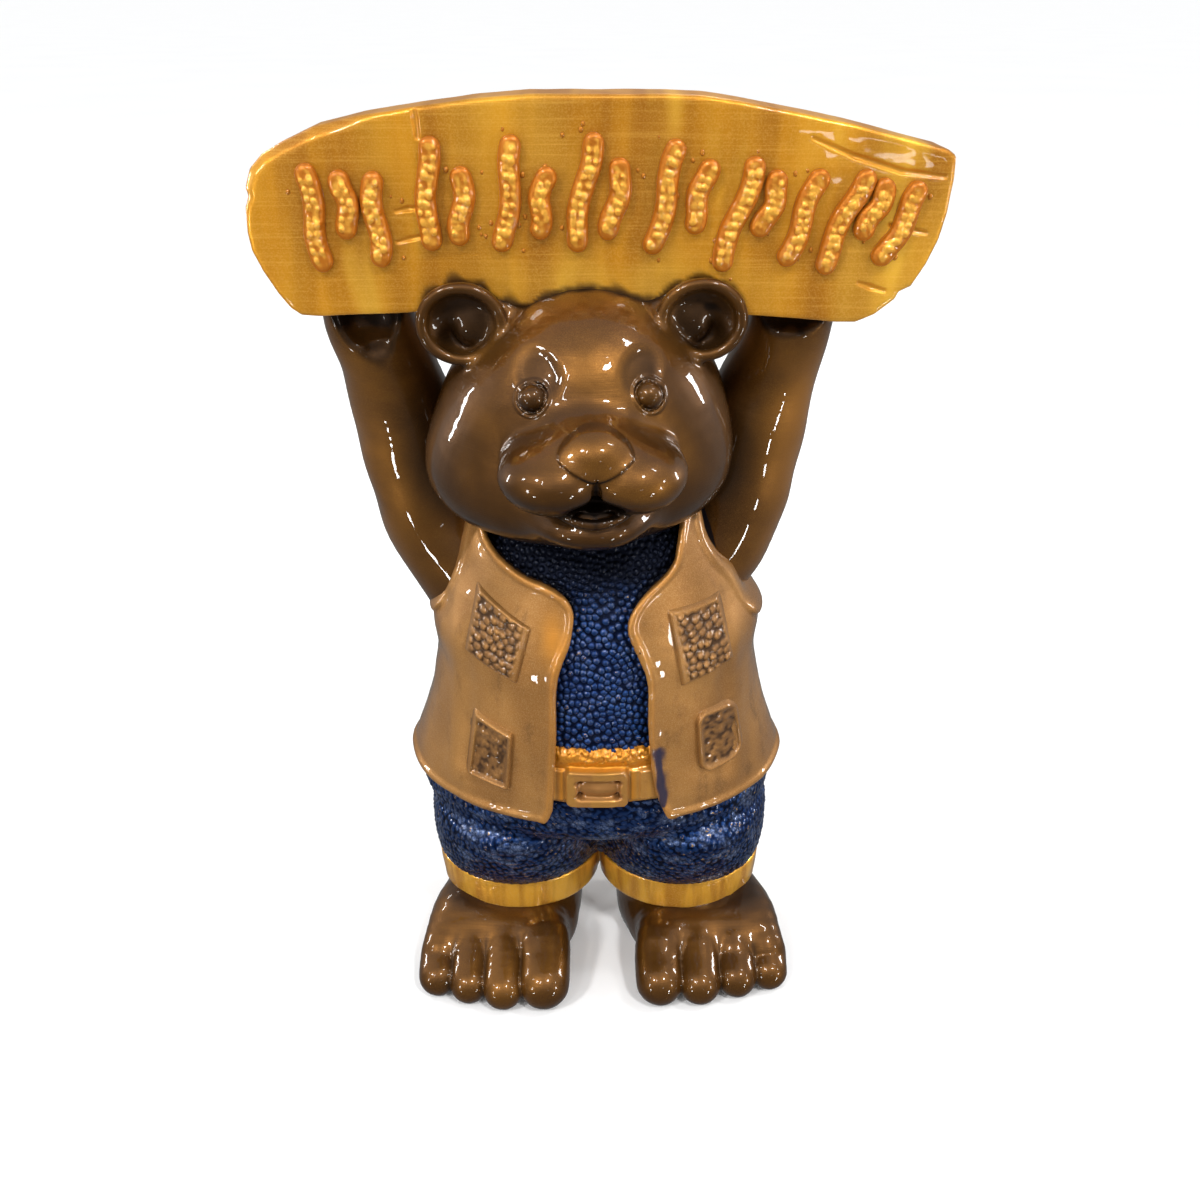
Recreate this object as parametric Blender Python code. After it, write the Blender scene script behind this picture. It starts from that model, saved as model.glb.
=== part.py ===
"""A standing bear that holds a plank sign over its head, cast in one piece.

Places and radii below are in millimetres, +Z up, and the bear faces -Y. Meshes are made in
metres. X = 0 is the middle of the sign; the head and the arms stand a little to its left.
"""

import math

import bmesh
import bpy
from mathutils import Matrix, Vector

MM = 0.001

# How finely the forms are fused, smoothed and thinned into one casting.
FUSE_VOXEL = 1.5
SMOOTH_FACTOR = 0.5
SMOOTH_REPEAT = 2
CASTING_TRIANGLES = 9400
SOLE_REACH = 0.35

# Head: a round skull over wide cheeks, turned slightly to the bear's left.
HEAD_X = -5.5
HEAD_Y = -12.0
HEAD_TURN = 4.6
HEAD = (
    (190.5, 6, 6, 6),
    (192, 20, 19, 17),
    (197, 37, 34, 31),
    (203, 47, 43, 39),
    (210, 52, 46.5, 43),
    (218, 53.6, 47.5, 45),
    (227, 52.6, 47.5, 46),
    (238, 49.4, 47.5, 46.5),
    (248, 45.4, 46.5, 45),
    (258, 39, 43, 41),
    (267, 30.5, 36, 34),
    (274, 20.5, 26, 24),
    (278.5, 10, 13, 12),
    (279.8, 3, 4, 4),
)
MUZZLE = ((0, -42, 230.6), (27.6, 22.5, 12.4))
JOWL = ((12.4, -50, 229), (17.2, 18.9, 11.8))
BRIDGE = ((0, -48, 238.2), (13, 17, 8.8))
NOSE = ((-8.2, -62.5, 241), (8.2, -62.5, 241), (0, -66.2, 234.2))
NOSE_RADII = (3.4, 3.4, 2.8)
CHIN = ((0, -42, 211), (19, 18.9, 8.4))
MOUTH = ((0, -65, 221), (8.9, 12, 3.6))
EYE = ((18.0, -41.2, 250.6), (4.3, 4.6, 4.3))

# Ears: round cups in front of the sign's lower edge.
EAR_X = 38.3
EAR_SHIFT = 1.2
EAR_Y = -28.4
EAR_Z = 268.2
EAR_RADII = (14.6, 7.2, 13.4)
EAR_CUP = ((-0.5, -8.6, 0), (12.0, 8.6, 11.0))

# Arms, from the shoulder up to the sign: x out from the head's middle, y, z and radius.
ARM = (
    (26, 0, 142, 19.0),
    (33, 1, 152, 20.0),
    (43, 4, 168, 20.8),
    (53.5, 7, 185, 20.4),
    (59.5, 8, 206, 19.6),
    (63.2, 7, 226, 18.6),
    (66.2, 3, 245, 17.6),
    (69.6, -4, 262, 16.2),
    (71, -8, 276, 15.5),
)
PALM = ((69.6, 2, 274), (17.6, 9, 12))
PALM_HOLLOW = ((70.5, -22.5, 263), (10.5, 8, 9))
FINGER_SPREAD = (-11.4, -3.9, 3.6, 11.0)
FINGER_REACH = (288, 293, 293.5, 289)
FINGER_RADIUS = 4.3
ARM_SEGMENTS = 32

# Sign: outline in X and Z, counter-clockwise as seen from the front, and its faces in Y.
SIGN_FRONT = -27.0
SIGN_BACK = -6.0
SIGN_TOP = 334.8
SIGN_OUTLINE = (
    (-106.8, 305.8), (-108.0, 302.5), (-108.2, 295), (-107.6, 289.5), (-104.9, 283), (-100.9, 276.2),
    (-97.4, 271.4), (-94.3, 269.2), (-88, 268.8), (-62, 269.8), (-49, 270.8), (-20, 271.5), (18, 271),
    (47.7, 269.2), (65.4, 268.0), (77, 266.8), (83.7, 266.9), (89.6, 269.4), (95.6, 274.4),
    (96.4, 276.6), (100.1, 278.4), (104.1, 285.4), (107.1, 292.8), (108.9, 301), (109.6, 311),
    (109.4, 317.5), (106.7, 319.4), (97, 321.8), (77.2, 326.6), (55.5, 330.7), (42.9, 332.9),
    (33, SIGN_TOP - 0.5), (22, SIGN_TOP), (-20, SIGN_TOP), (-37, 333.5), (-54.4, 331.2), (-71.6, 328.7),
    (-85.2, 325.6), (-95.2, 321.2), (-101.5, 317.8), (-105.6, 313.6), (-107.6, 308),
)

# Body sections, bottom to top: z, half width, depth in front, depth behind.
VEST = (
    (92, 73.5, 60, 47),
    (100, 71, 60.5, 47),
    (113, 66.5, 60, 46),
    (127, 63, 59.5, 45.5),
    (140, 61, 58.5, 45.5),
    (153, 62, 57, 45.5),
    (165, 57, 55, 44),
    (176, 52.5, 52, 42),
    (188, 48.5, 46.5, 38),
    (198, 43.5, 39, 32),
    (206, 37, 29, 26),
)
VEST_THICK = 4.6
SHORTS = (
    (68, 20, 12, 20),
    (70, 44, 26, 33),
    (73, 61, 39, 39),
    (77, 69, 49, 42.5),
    (82, 69.8, 53.6, 43.7),
    (88, 68.5, 55, 44),
    (99, 66, 56, 43),
)
LEG = (
    (30, 28, 26, 25),
    (38, 31.6, 29.4, 28.4),
    (43, 34, 34, 31.5),
    (50, 35, 40, 36),
    (58, 35.4, 44, 38.5),
    (66, 34.6, 46.5, 40.5),
    (73, 32, 47, 41),
    (80, 22, 38, 34),
)
ANKLE = (
    (2, 24, 22, 24),
    (20, 27, 25, 25),
    (30, 28, 26, 25),
    (40, 30, 27, 26),
)
LEG_X = (-32.1, 34.5)
CUFF = (
    (25.9, 31.8, 28.8, 28),
    (27.5, 33, 29.8, 29),
    (33, 33.7, 30.4, 29.6),
    (39, 34.1, 30.7, 29.9),
    (40.5, 33, 29.8, 29),
)
BELT = ((99, 3.0), (100, 4.2), (114, 4.2), (115, 3.0))
BUCKLE = ((-11.7, 98), (12.7, 98), (12.7, 114.6), (-11.7, 114.6))
BUCKLE_PROUD = 2.2

# Openings in the vest, as seen from the front.
VEST_OPENING = (
    (-19.5, 84), (-17.0, 98), (-15.3, 127), (-14.8, 147), (-13.0, 156.3), (-9.8, 164.3), (-8.4, 171.3),
    (-8.7, 175.2), (-11.4, 178.7), (-16.9, 181.2), (-25.3, 183.1), (-31.8, 185.7), (-36.6, 188.5),
    (-39.7, 192), (-41, 200), (-41, 216), (33, 216), (31.6, 203), (30, 195.6), (29.1, 191.5), (28, 187.4),
    (24.6, 183.6), (17.7, 178.9), (13.2, 173), (12.7, 167.5), (16.5, 158), (19.2, 148), (19.8, 127),
    (23, 104), (26.5, 94), (29, 84),
)
ARMHOLES = (
    ((-43, 216), (-44.4, 200), (-46.5, 190), (-49.7, 178), (-51.6, 172.6), (-55.2, 165.7), (-60, 159.3),
     (-67, 154), (-92, 150), (-92, 216)),
    ((34, 216), (34.8, 203), (36.4, 194.7), (38.3, 189.9), (42.8, 182.6), (48.5, 174.4), (54.6, 163.2),
     (60, 157.8), (67, 154), (92, 150), (92, 216)),
)

# Pockets on the vest's front: corners in X and Z, and how far each stands proud.
POCKETS = (
    ((-46.5, 153.4), (-27.3, 147.5), (-21.9, 167.7), (-41.6, 176.1)),
    ((30.1, 145.9), (49.9, 148.8), (43.6, 172.0), (24.8, 173.0)),
    ((-47.9, 104.6), (-31.1, 103.9), (-29.4, 126.7), (-43.8, 131.0)),
    ((37.8, 107.6), (56.0, 108.6), (52.0, 130.6), (35.5, 133.8)),
)
POCKET_PROUD = 2.0

# Feet: x of each toe from the outer to the inner one, how far forward it ends, and its radius.
TOES_LEFT = ((-63.6, -56.0, 7.8), (-50.8, -60.0, 7.8), (-37.0, -63.6, 8.2), (-20.8, -64.4, 10.0))
TOES_RIGHT = ((69.8, -52.5, 7.6), (56.4, -57.0, 8.2), (41.4, -61.0, 8.4), (25.4, -62.0, 9.4))
TOE_RISE = 0.95
HEELS = (((-37, -2, 8), (29, 31, 22)), ((40.5, -2, 8), (30, 31, 22)))
INSTEPS = (((-39, -22, 8), (32, 29, 19)), ((44.5, -22, 8), (32, 28, 19)))

# Finish.
BRONZE_BROWN = (0.16, 0.075, 0.03, 1.0)


def clear_scene():
    """Remove every object, so that only the casting is left."""
    for thing in list(bpy.data.objects):
        bpy.data.objects.remove(thing, do_unlink=True)


def make_object(name, points, faces):
    """A mesh object from points in millimetres, with its faces turned outwards."""
    mesh = bpy.data.meshes.new(name)
    mesh.from_pydata([Vector(p) * MM for p in points], [], faces)
    thing = bpy.data.objects.new(name, mesh)
    bpy.context.scene.collection.objects.link(thing)
    body = bmesh.new()
    body.from_mesh(mesh)
    bmesh.ops.recalc_face_normals(body, faces=body.faces)
    body.to_mesh(mesh)
    body.free()
    return thing


def ball(centre, radii, place=None):
    """An ellipsoid."""
    body = bmesh.new()
    bmesh.ops.create_uvsphere(body, u_segments=40, v_segments=24, radius=1.0)
    matrix = Matrix.Translation(Vector(centre) * MM) @ Matrix.Diagonal((*(Vector(radii) * MM), 1.0))
    bmesh.ops.transform(body, matrix=(place or Matrix()) @ matrix, verts=body.verts)
    mesh = bpy.data.meshes.new("ball")
    body.to_mesh(mesh)
    body.free()
    thing = bpy.data.objects.new("ball", mesh)
    bpy.context.scene.collection.objects.link(thing)
    return thing


def smooth_rows(rows, steps):
    """Rows of numbers, filled in between by a curve that passes through each of them."""
    filled = []
    for index in range(len(rows) - 1):
        before = Vector(rows[max(index - 1, 0)])
        start = Vector(rows[index])
        end = Vector(rows[index + 1])
        after = Vector(rows[min(index + 2, len(rows) - 1)])
        for step in range(steps):
            t = step / steps
            bend = 2 * before - 5 * start + 4 * end - after
            twist = 3 * start - before - 3 * end + after
            filled.append(start + 0.5 * t * (end - before + t * (bend + t * twist)))
    filled.append(Vector(rows[-1]))
    return filled


def loft(name, rings):
    """A closed body through rings of the same number of points, with a flat cap at each end."""
    count = len(rings[0])
    points = [point for ring in rings for point in ring]
    faces = [list(range(count)), list(range(len(points) - count, len(points)))]
    for row in range(len(rings) - 1):
        for side in range(count):
            here = row * count + side
            beside = row * count + (side + 1) % count
            faces.append((here, beside, beside + count, here + count))
    return make_object(name, points, faces)


def tube(knots, segments=ARM_SEGMENTS, steps=5):
    """A limb of changing radius along a smooth path of (x, y, z, radius) knots."""
    path = smooth_rows(knots, steps)
    rings = []
    for index, knot in enumerate(path):
        here = Vector(knot[:3])
        ahead = Vector(path[min(index + 1, len(path) - 1)][:3])
        behind = Vector(path[max(index - 1, 0)][:3])
        direction = (ahead - behind).normalized()
        deep = Vector((0, 1, 0)) - direction * direction.y
        deep.normalize()
        wide = direction.cross(deep)
        ring = []
        for step in range(segments):
            angle = 2 * math.pi * step / segments
            ring.append(here + knot[3] * (wide * math.cos(angle) + deep * math.sin(angle)))
        rings.append(ring)
    return loft("limb", rings)


def section(x, z, wide, front, back, segments=72):
    """One level ring, with its own depth in front and behind."""
    ring = []
    for step in range(segments):
        angle = 2 * math.pi * step / segments
        across = math.sin(angle)
        along = math.cos(angle)
        deep = front if along > 0 else back
        ring.append((x + wide * across, -deep * along, z))
    return ring


def stack(x, sections, inset=0.0, steps=4):
    """A body through level sections, drawn in all round by the inset."""
    rings = []
    for z, wide, front, back in smooth_rows(sections, steps):
        rings.append(section(x, z, wide - inset, front - inset, back - inset))
    return loft("stack", rings)


def prism(outline, front, back):
    """A plate with the outline drawn in X and Z, from one Y to another."""
    points = [(x, front, z) for x, z in outline]
    points += [(x, back, z) for x, z in outline]
    count = len(outline)
    faces = [list(range(count)), list(range(count, 2 * count))]
    for side in range(count):
        beside = (side + 1) % count
        faces.append((side, beside, beside + count, side + count))
    return make_object("plate", points, faces)


def vest_front(x, z):
    """The y of the vest's outer face in front, at an x and a height."""
    rows = smooth_rows(VEST, 4)
    for lower, upper in zip(rows, rows[1:]):
        if z <= upper[0]:
            break
    share = (z - lower[0]) / (upper[0] - lower[0])
    wide = lower[1] + share * (upper[1] - lower[1])
    front = lower[2] + share * (upper[2] - lower[2])
    return -front * math.sqrt(max(1 - (x / wide) ** 2, 0.0))


def patch(corners, proud, sink=3.0, cells=6):
    """A four-cornered plate that follows the vest's front and stands proud of it."""
    rings = []
    for depth in (-proud, sink):
        for row in range(cells + 1):
            for column in range(cells + 1):
                u = column / cells
                v = row / cells
                low = [corners[0][i] + u * (corners[1][i] - corners[0][i]) for i in (0, 1)]
                high = [corners[3][i] + u * (corners[2][i] - corners[3][i]) for i in (0, 1)]
                x = low[0] + v * (high[0] - low[0])
                z = low[1] + v * (high[1] - low[1])
                rings.append((x, vest_front(x, z) + depth, z))
    row_length = cells + 1
    layer = row_length * row_length
    faces = []
    for row in range(cells):
        for column in range(cells):
            here = row * row_length + column
            quad = (here, here + 1, here + row_length + 1, here + row_length)
            faces.append(quad)
            faces.append(tuple(index + layer for index in quad))
    edge = [column for column in range(cells)]
    edge += [row * row_length + cells for row in range(cells)]
    edge += [cells * row_length + column for column in range(cells, 0, -1)]
    edge += [row * row_length for row in range(cells, 0, -1)]
    for index, here in enumerate(edge):
        beside = edge[(index + 1) % len(edge)]
        faces.append((here, beside, beside + layer, here + layer))
    return make_object("patch", rings, faces)


def apply_modifiers(thing):
    """Turn a body's modifiers into its own mesh."""
    evaluated = thing.evaluated_get(bpy.context.evaluated_depsgraph_get())
    mesh = bpy.data.meshes.new_from_object(evaluated)
    thing.modifiers.clear()
    thing.data = mesh


def cut(thing, cutter):
    """Take the cutter's form out of a body."""
    modifier = thing.modifiers.new("cut", "BOOLEAN")
    modifier.operation = "DIFFERENCE"
    modifier.solver = "EXACT"
    modifier.object = cutter
    apply_modifiers(thing)
    bpy.data.objects.remove(cutter, do_unlink=True)
    return thing


def head_place():
    """Where the head's own frame stands: its middle, and the slight turn."""
    turn = Matrix.Rotation(math.radians(HEAD_TURN), 4, "Z")
    return Matrix.Translation(Vector((HEAD_X, HEAD_Y, 0)) * MM) @ turn


def move_to(thing, place):
    """Put a body's points through a matrix."""
    thing.data.transform(place)
    return thing


def both_sides(centre):
    """A place and its mirror image."""
    return (centre, (-centre[0], centre[1], centre[2]))


def make_nose():
    """A flat triangular nose, round at its three corners."""
    body = bmesh.new()
    for corner, radius in zip(NOSE, NOSE_RADII):
        matrix = Matrix.Translation(Vector(corner) * MM)
        bmesh.ops.create_icosphere(body, subdivisions=3, radius=radius * MM, matrix=matrix)
    hull = bmesh.ops.convex_hull(body, input=body.verts)
    inside = [piece for piece in hull["geom_interior"] if isinstance(piece, bmesh.types.BMVert)]
    bmesh.ops.delete(body, geom=inside, context="VERTS")
    mesh = bpy.data.meshes.new("nose")
    body.to_mesh(mesh)
    body.free()
    nose = bpy.data.objects.new("nose", mesh)
    bpy.context.scene.collection.objects.link(nose)
    return nose


def make_head():
    """The round of the head, with its muzzle, nose, chin and eyes."""
    place = head_place()
    forms = [move_to(stack(0, HEAD), place)]
    forms += [ball(*form, place) for form in (MUZZLE, BRIDGE, CHIN)]
    for centre, radii in (JOWL, EYE):
        forms += [ball(side, radii, place) for side in both_sides(centre)]
    forms.append(move_to(make_nose(), place))
    return forms


def make_ears():
    """Two round ears, hollowed in front."""
    ears = []
    for side in (-1, 1):
        centre = (HEAD_X + EAR_SHIFT + side * EAR_X, EAR_Y, EAR_Z)
        cup_offset, cup_radii = EAR_CUP
        cup = (centre[0] + side * cup_offset[0], centre[1] + cup_offset[1], centre[2] + cup_offset[2])
        ears.append(cut(ball(centre, EAR_RADII), ball(cup, cup_radii)))
    return ears


def make_arms():
    """Two raised arms, each with a palm against the back of the sign."""
    arms = []
    for side in (-1, 1):
        arms.append(tube([(HEAD_X + side * x, y, z, radius) for x, y, z, radius in ARM]))
        centre, radii = PALM
        arms.append(ball((HEAD_X + side * centre[0], centre[1], centre[2]), radii))
        for across, reach in zip(FINGER_SPREAD, FINGER_REACH):
            x = HEAD_X + side * (centre[0] + across)
            back = SIGN_BACK + 0.35 * FINGER_RADIUS
            arms.append(tube([(x, 3, 272, FINGER_RADIUS), (x, back, reach, FINGER_RADIUS)], segments=16))
            arms.append(ball((x, back, reach), (FINGER_RADIUS,) * 3))
    return arms


def make_vest():
    """An open, sleeveless vest that flares to its hem."""
    vest = stack(0, VEST)
    cut(vest, prism(VEST_OPENING, -90, -6))
    for outline in ARMHOLES:
        cut(vest, prism(outline, -90, 90))
    return vest


def make_body():
    """Shirt, neck, belt with its buckle, shorts, legs and cuffs."""
    forms = [stack(0, VEST, VEST_THICK), ball((HEAD_X, -8, 200), (34, 32, 24))]
    belt = []
    for z, proud in BELT:
        share = (z - VEST[0][0]) / (VEST[2][0] - VEST[0][0])
        sizes = [VEST[0][i] + share * (VEST[2][i] - VEST[0][i]) - VEST_THICK + proud for i in (1, 2, 3)]
        belt.append((z, sizes[0] - 1.5, sizes[1], sizes[2] - 1.5))
    forms.append(stack(0, belt, steps=1))
    forms.append(patch(BUCKLE, BUCKLE_PROUD))
    forms.append(stack(0, SHORTS))
    for x in LEG_X:
        forms.append(stack(x, LEG))
        forms.append(stack(x, ANKLE))
        forms.append(stack(x, CUFF, steps=1))
    return forms


def make_pockets():
    """Four patch pockets."""
    return [patch(corners, POCKET_PROUD) for corners in POCKETS]


def make_feet():
    """Two broad paws of four toes each."""
    forms = []
    for toes, heel, instep in zip((TOES_LEFT, TOES_RIGHT), HEELS, INSTEPS):
        forms.append(ball(*heel))
        forms.append(ball(*instep))
        middle = instep[0][0]
        for x, reach, radius in toes:
            rise = radius * TOE_RISE
            knots = (
                (middle + 0.55 * (x - middle), -6, 17.5, 9.5),
                (middle + 0.80 * (x - middle), -22, 17, 9.5),
                (middle + 0.95 * (x - middle), -36, rise + 6, radius + 0.6),
                (x, reach + 1.9 * radius, rise + 2.6, radius + 0.2),
                (x, reach + radius, rise, radius),
            )
            forms.append(tube(knots, segments=20))
            forms.append(ball((x, reach + radius, rise), (radius, radius, radius)))
    return forms


def make_sign():
    """The plank that the bear holds up."""
    return prism(SIGN_OUTLINE, SIGN_FRONT, SIGN_BACK)


def fuse(name, forms):
    """One closed skin round all the forms, with its edges softened."""
    body = bmesh.new()
    for form in forms:
        body.from_mesh(form.data)
        bpy.data.objects.remove(form, do_unlink=True)
    mesh = bpy.data.meshes.new(name)
    body.to_mesh(mesh)
    body.free()
    casting = bpy.data.objects.new(name, mesh)
    bpy.context.scene.collection.objects.link(casting)
    fusing = casting.modifiers.new("fuse", "REMESH")
    fusing.mode = "VOXEL"
    fusing.voxel_size = FUSE_VOXEL * MM
    softening = casting.modifiers.new("soften", "SMOOTH")
    softening.factor = SMOOTH_FACTOR
    softening.iterations = SMOOTH_REPEAT
    apply_modifiers(casting)
    return casting


def cut_soles_flat(casting):
    """Cut everything below the ground away and close the soles."""
    body = bmesh.new()
    body.from_mesh(casting.data)
    everything = body.verts[:] + body.edges[:] + body.faces[:]
    result = bmesh.ops.bisect_plane(
        body, geom=everything, plane_co=(0, 0, 0), plane_no=(0, 0, 1), clear_inner=True
    )
    rim = [piece for piece in result["geom_cut"] if isinstance(piece, bmesh.types.BMEdge)]
    bmesh.ops.holes_fill(body, edges=rim)
    bmesh.ops.triangulate(body, faces=body.faces)
    bmesh.ops.recalc_face_normals(body, faces=body.faces)
    body.to_mesh(casting.data)
    body.free()


def thin_out(casting):
    """Keep only the triangles that the form needs."""
    thinning = casting.modifiers.new("thin", "DECIMATE")
    thinning.ratio = CASTING_TRIANGLES / len(casting.data.polygons)
    thinning.use_collapse_triangulate = True
    apply_modifiers(casting)


def press_soles_flat(casting):
    """Put the points that thinning left a hair off the ground back on it."""
    for vertex in casting.data.vertices:
        if vertex.co.z < SOLE_REACH * MM:
            vertex.co.z = 0.0


def stand_on_origin(casting):
    """Move the casting so that the origin is under the middle of its box."""
    for axis in (0, 1):
        places = [vertex.co[axis] for vertex in casting.data.vertices]
        middle = (min(places) + max(places)) / 2
        for vertex in casting.data.vertices:
            vertex.co[axis] -= middle


def paint(casting):
    """A metallic brown under a clear gloss."""
    material = bpy.data.materials.new("bronze_brown")
    material.use_nodes = True
    shader = material.node_tree.nodes["Principled BSDF"]
    shader.inputs["Base Color"].default_value = BRONZE_BROWN
    shader.inputs["Metallic"].default_value = 0.6
    shader.inputs["Roughness"].default_value = 0.35
    casting.data.materials.clear()
    casting.data.materials.append(material)
    casting.data.shade_smooth()
    casting.data.set_sharp_from_angle(angle=math.radians(40))


def main():
    clear_scene()
    forms = make_head() + make_ears() + make_arms() + make_body() + make_feet() + make_pockets()
    forms += [make_vest(), make_sign()]
    casting = fuse("bear_statue", forms)
    cut(casting, ball(*MOUTH, head_place()))
    (x, y, z), radii = PALM_HOLLOW
    for side in (-1, 1):
        cut(casting, ball((HEAD_X + side * x, y, z), radii))
    cut_soles_flat(casting)
    thin_out(casting)
    press_soles_flat(casting)
    stand_on_origin(casting)
    paint(casting)


main()
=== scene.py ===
"""A standing bear that holds a plank sign over its head: one painted, clear-coated casting.

A form here is a function of x, y and z, in millimetres, that is under zero inside the body.
skin() lays quads over a form, refine() makes them smaller where the relief is fine, and press()
moves them in or out for bumps, creases and ripples. A finished piece is moved to the CAD part's
place, in metres. X = 0 is the middle of the sign, the bear faces -Y and +Z is up.
"""

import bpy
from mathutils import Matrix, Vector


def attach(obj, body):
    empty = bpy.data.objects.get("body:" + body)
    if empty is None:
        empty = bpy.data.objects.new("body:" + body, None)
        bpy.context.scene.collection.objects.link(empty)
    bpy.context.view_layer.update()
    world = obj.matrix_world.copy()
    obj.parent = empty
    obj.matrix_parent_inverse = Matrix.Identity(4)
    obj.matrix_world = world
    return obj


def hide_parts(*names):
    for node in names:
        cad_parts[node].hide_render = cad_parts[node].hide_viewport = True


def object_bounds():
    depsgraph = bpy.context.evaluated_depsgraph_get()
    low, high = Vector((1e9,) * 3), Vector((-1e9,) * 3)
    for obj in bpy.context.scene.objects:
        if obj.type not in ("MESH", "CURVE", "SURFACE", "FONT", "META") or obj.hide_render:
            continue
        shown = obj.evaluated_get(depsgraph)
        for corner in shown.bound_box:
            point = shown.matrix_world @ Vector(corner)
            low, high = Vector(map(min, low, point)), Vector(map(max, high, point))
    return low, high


bl_info = {
    "name": "Bear With Plank Sign",
    "version": (1, 0, 0),
    "blender": (4, 5, 0),
    "location": "3D View > Sidebar > Bear",
    "description": "Builds a painted, clear-coated bear statue piece by piece",
    "category": "Add Mesh",
}

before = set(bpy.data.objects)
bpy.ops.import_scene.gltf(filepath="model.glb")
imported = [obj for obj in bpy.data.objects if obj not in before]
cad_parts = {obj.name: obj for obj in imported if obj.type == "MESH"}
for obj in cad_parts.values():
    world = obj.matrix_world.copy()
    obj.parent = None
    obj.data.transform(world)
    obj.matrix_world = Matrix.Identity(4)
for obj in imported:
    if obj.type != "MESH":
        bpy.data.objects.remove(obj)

import math
from functools import partial
from itertools import product

import bmesh
import bpy
import numpy as np
from bpy.props import FloatProperty, FloatVectorProperty, PointerProperty
from mathutils import Matrix, Vector, kdtree

MM = 0.001
CAD_LOW, CAD_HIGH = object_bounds()
CASTING = "bear_statue"

# The two places that tie this script's millimetres to the CAD part's box.
SIGN_LEFT = -108.11
NOSE_FRONT = -81.64
SHIFT = np.array((CAD_LOW.x / MM - SIGN_LEFT, CAD_LOW.y / MM - NOSE_FRONT, 0.0))

# Head, in its own frame: x from its middle, y from its axis. A section is z, half width, depth in
# front and depth behind.
HEAD_X = -5.5
HEAD_Y = -12.0
HEAD_TURN = math.radians(4.6)
FACE_X = 0.8
FACE_FRONT = -20
SKULL_LEAN = 0.06
SKULL = (
    (190.5, 6, 6, 6), (192, 20, 19, 17), (197, 37, 34, 31), (203, 47, 43, 39),
    (210, 52, 46.5, 43), (218, 53.6, 47.5, 45), (227, 52.6, 47.5, 46), (238, 49.4, 47.5, 46.5),
    (248, 45.4, 46.5, 45), (258, 39, 43, 41), (267, 30.5, 36, 34), (274, 20.5, 26, 24),
    (278.5, 10, 13, 12), (279.8, 3, 4, 4),
)
MUZZLE = ((0, -42, 230.6), (27.6, 22.5, 12.4))
JOWL = ((12.4, -50, 229.0), (17.2, 18.9, 11.8))
BRIDGE = ((0, -48, 238.2), (13, 17, 8.8))
CHIN = ((0, -42, 211.0), (19, 18.9, 8.4))
NOSE = (
    (-11.6, 238.6), (-9.6, 242.2), (-5, 245.6), (0, 246.6), (5, 245.6), (9.6, 242.2),
    (11.6, 238.6), (9.6, 236.6), (6.2, 234.3), (3, 232.5), (0, 231.5), (-3, 232.5),
    (-6.2, 234.3), (-9.6, 236.6),
)
MOUTH = ((0, -65, 221.2), (8.9, 12, 3.2))
MOUTH_PEAK = ((0, -74, 223.2, 2.2), (0, -57, 223.2, 2.2))
LIP = (
    (0, -60.9, 216.2, 1.6), (5, -60.2, 216.8, 1.5), (10, -57.3, 218.2, 1.3),
    (14.5, -52, 220.4, 0.9),
)
PHILTRUM = ((0, -64.9, 232.6, 0.7), (0, -64.1, 228.5, 1.3), (0, -62.0, 224.0, 1.9))
EYE = (18.0, -40.9, 250.6)
EYE_RADIUS = 4.3
SOCKET = (15.8, 257.2)
SOCKET_RADIUS = 8.6
SOCKET_DEPTH = 1.25

# Ears: round cups in front of the sign's lower edge.
EAR_X = 38.3
EAR_SHIFT = 1.2
EAR_Y = -28.4
EAR_Z = 268.2
EAR_RING = 12.6
EAR_ROLL = 2.0
EAR_SHELL = ((0, 1.6, 0), (13.6, 7.0, 12.4))
EAR_CUP = ((0, -6.0, 0), (12.0, 6.6, 11.0))
EAR_DEEP = ((-1.0, -5.0, -4.6), (9.0, 10.0, 6.8))
EAR_ROOT = ((-10.5, 3.5, -0.5), (9.5, 5.5, 8.0))
EAR_MOUND = ((-3.6, 3.4, -1.4), (7.2, 5.2, 7.4))
EAR_ROOM = ((EAR_X, EAR_Y - 4, EAR_Z), (17, 8, 16))

# Arms, from the shoulder up to the sign: x out from the head's middle, y, z and radius.
ARM = (
    (26, 0, 142, 19.0), (33, 1, 152, 20.0), (43, 4, 168, 20.8), (53.5, 7, 185, 20.4),
    (59.5, 8, 206, 19.6), (63.2, 7, 226, 18.6), (66.2, 3, 245, 17.6), (69.6, -4, 262, 16.2),
    (71, -8, 276, 15.5),
)
ARM_SLIM = (1.2, 2.0)
PALM = ((69.6, 2, 274), (17.6, 9, 12))
PALM_HOLLOWS = (
    ((66, -18.5, 250.5, 1.5), (67, -20, 257, 6), (69, -22, 266, 11.5), (70, -24, 277, 14.5)),
    ((66, -22.5, 270.5, 10), (73.5, -22.5, 271.5, 10)),
)
FINGER_SPREAD = (-11.4, -3.9, 3.6, 11.0)
FINGER_REACH = (288, 293, 293.5, 289)
FINGER_RADIUS = 4.3

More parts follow.
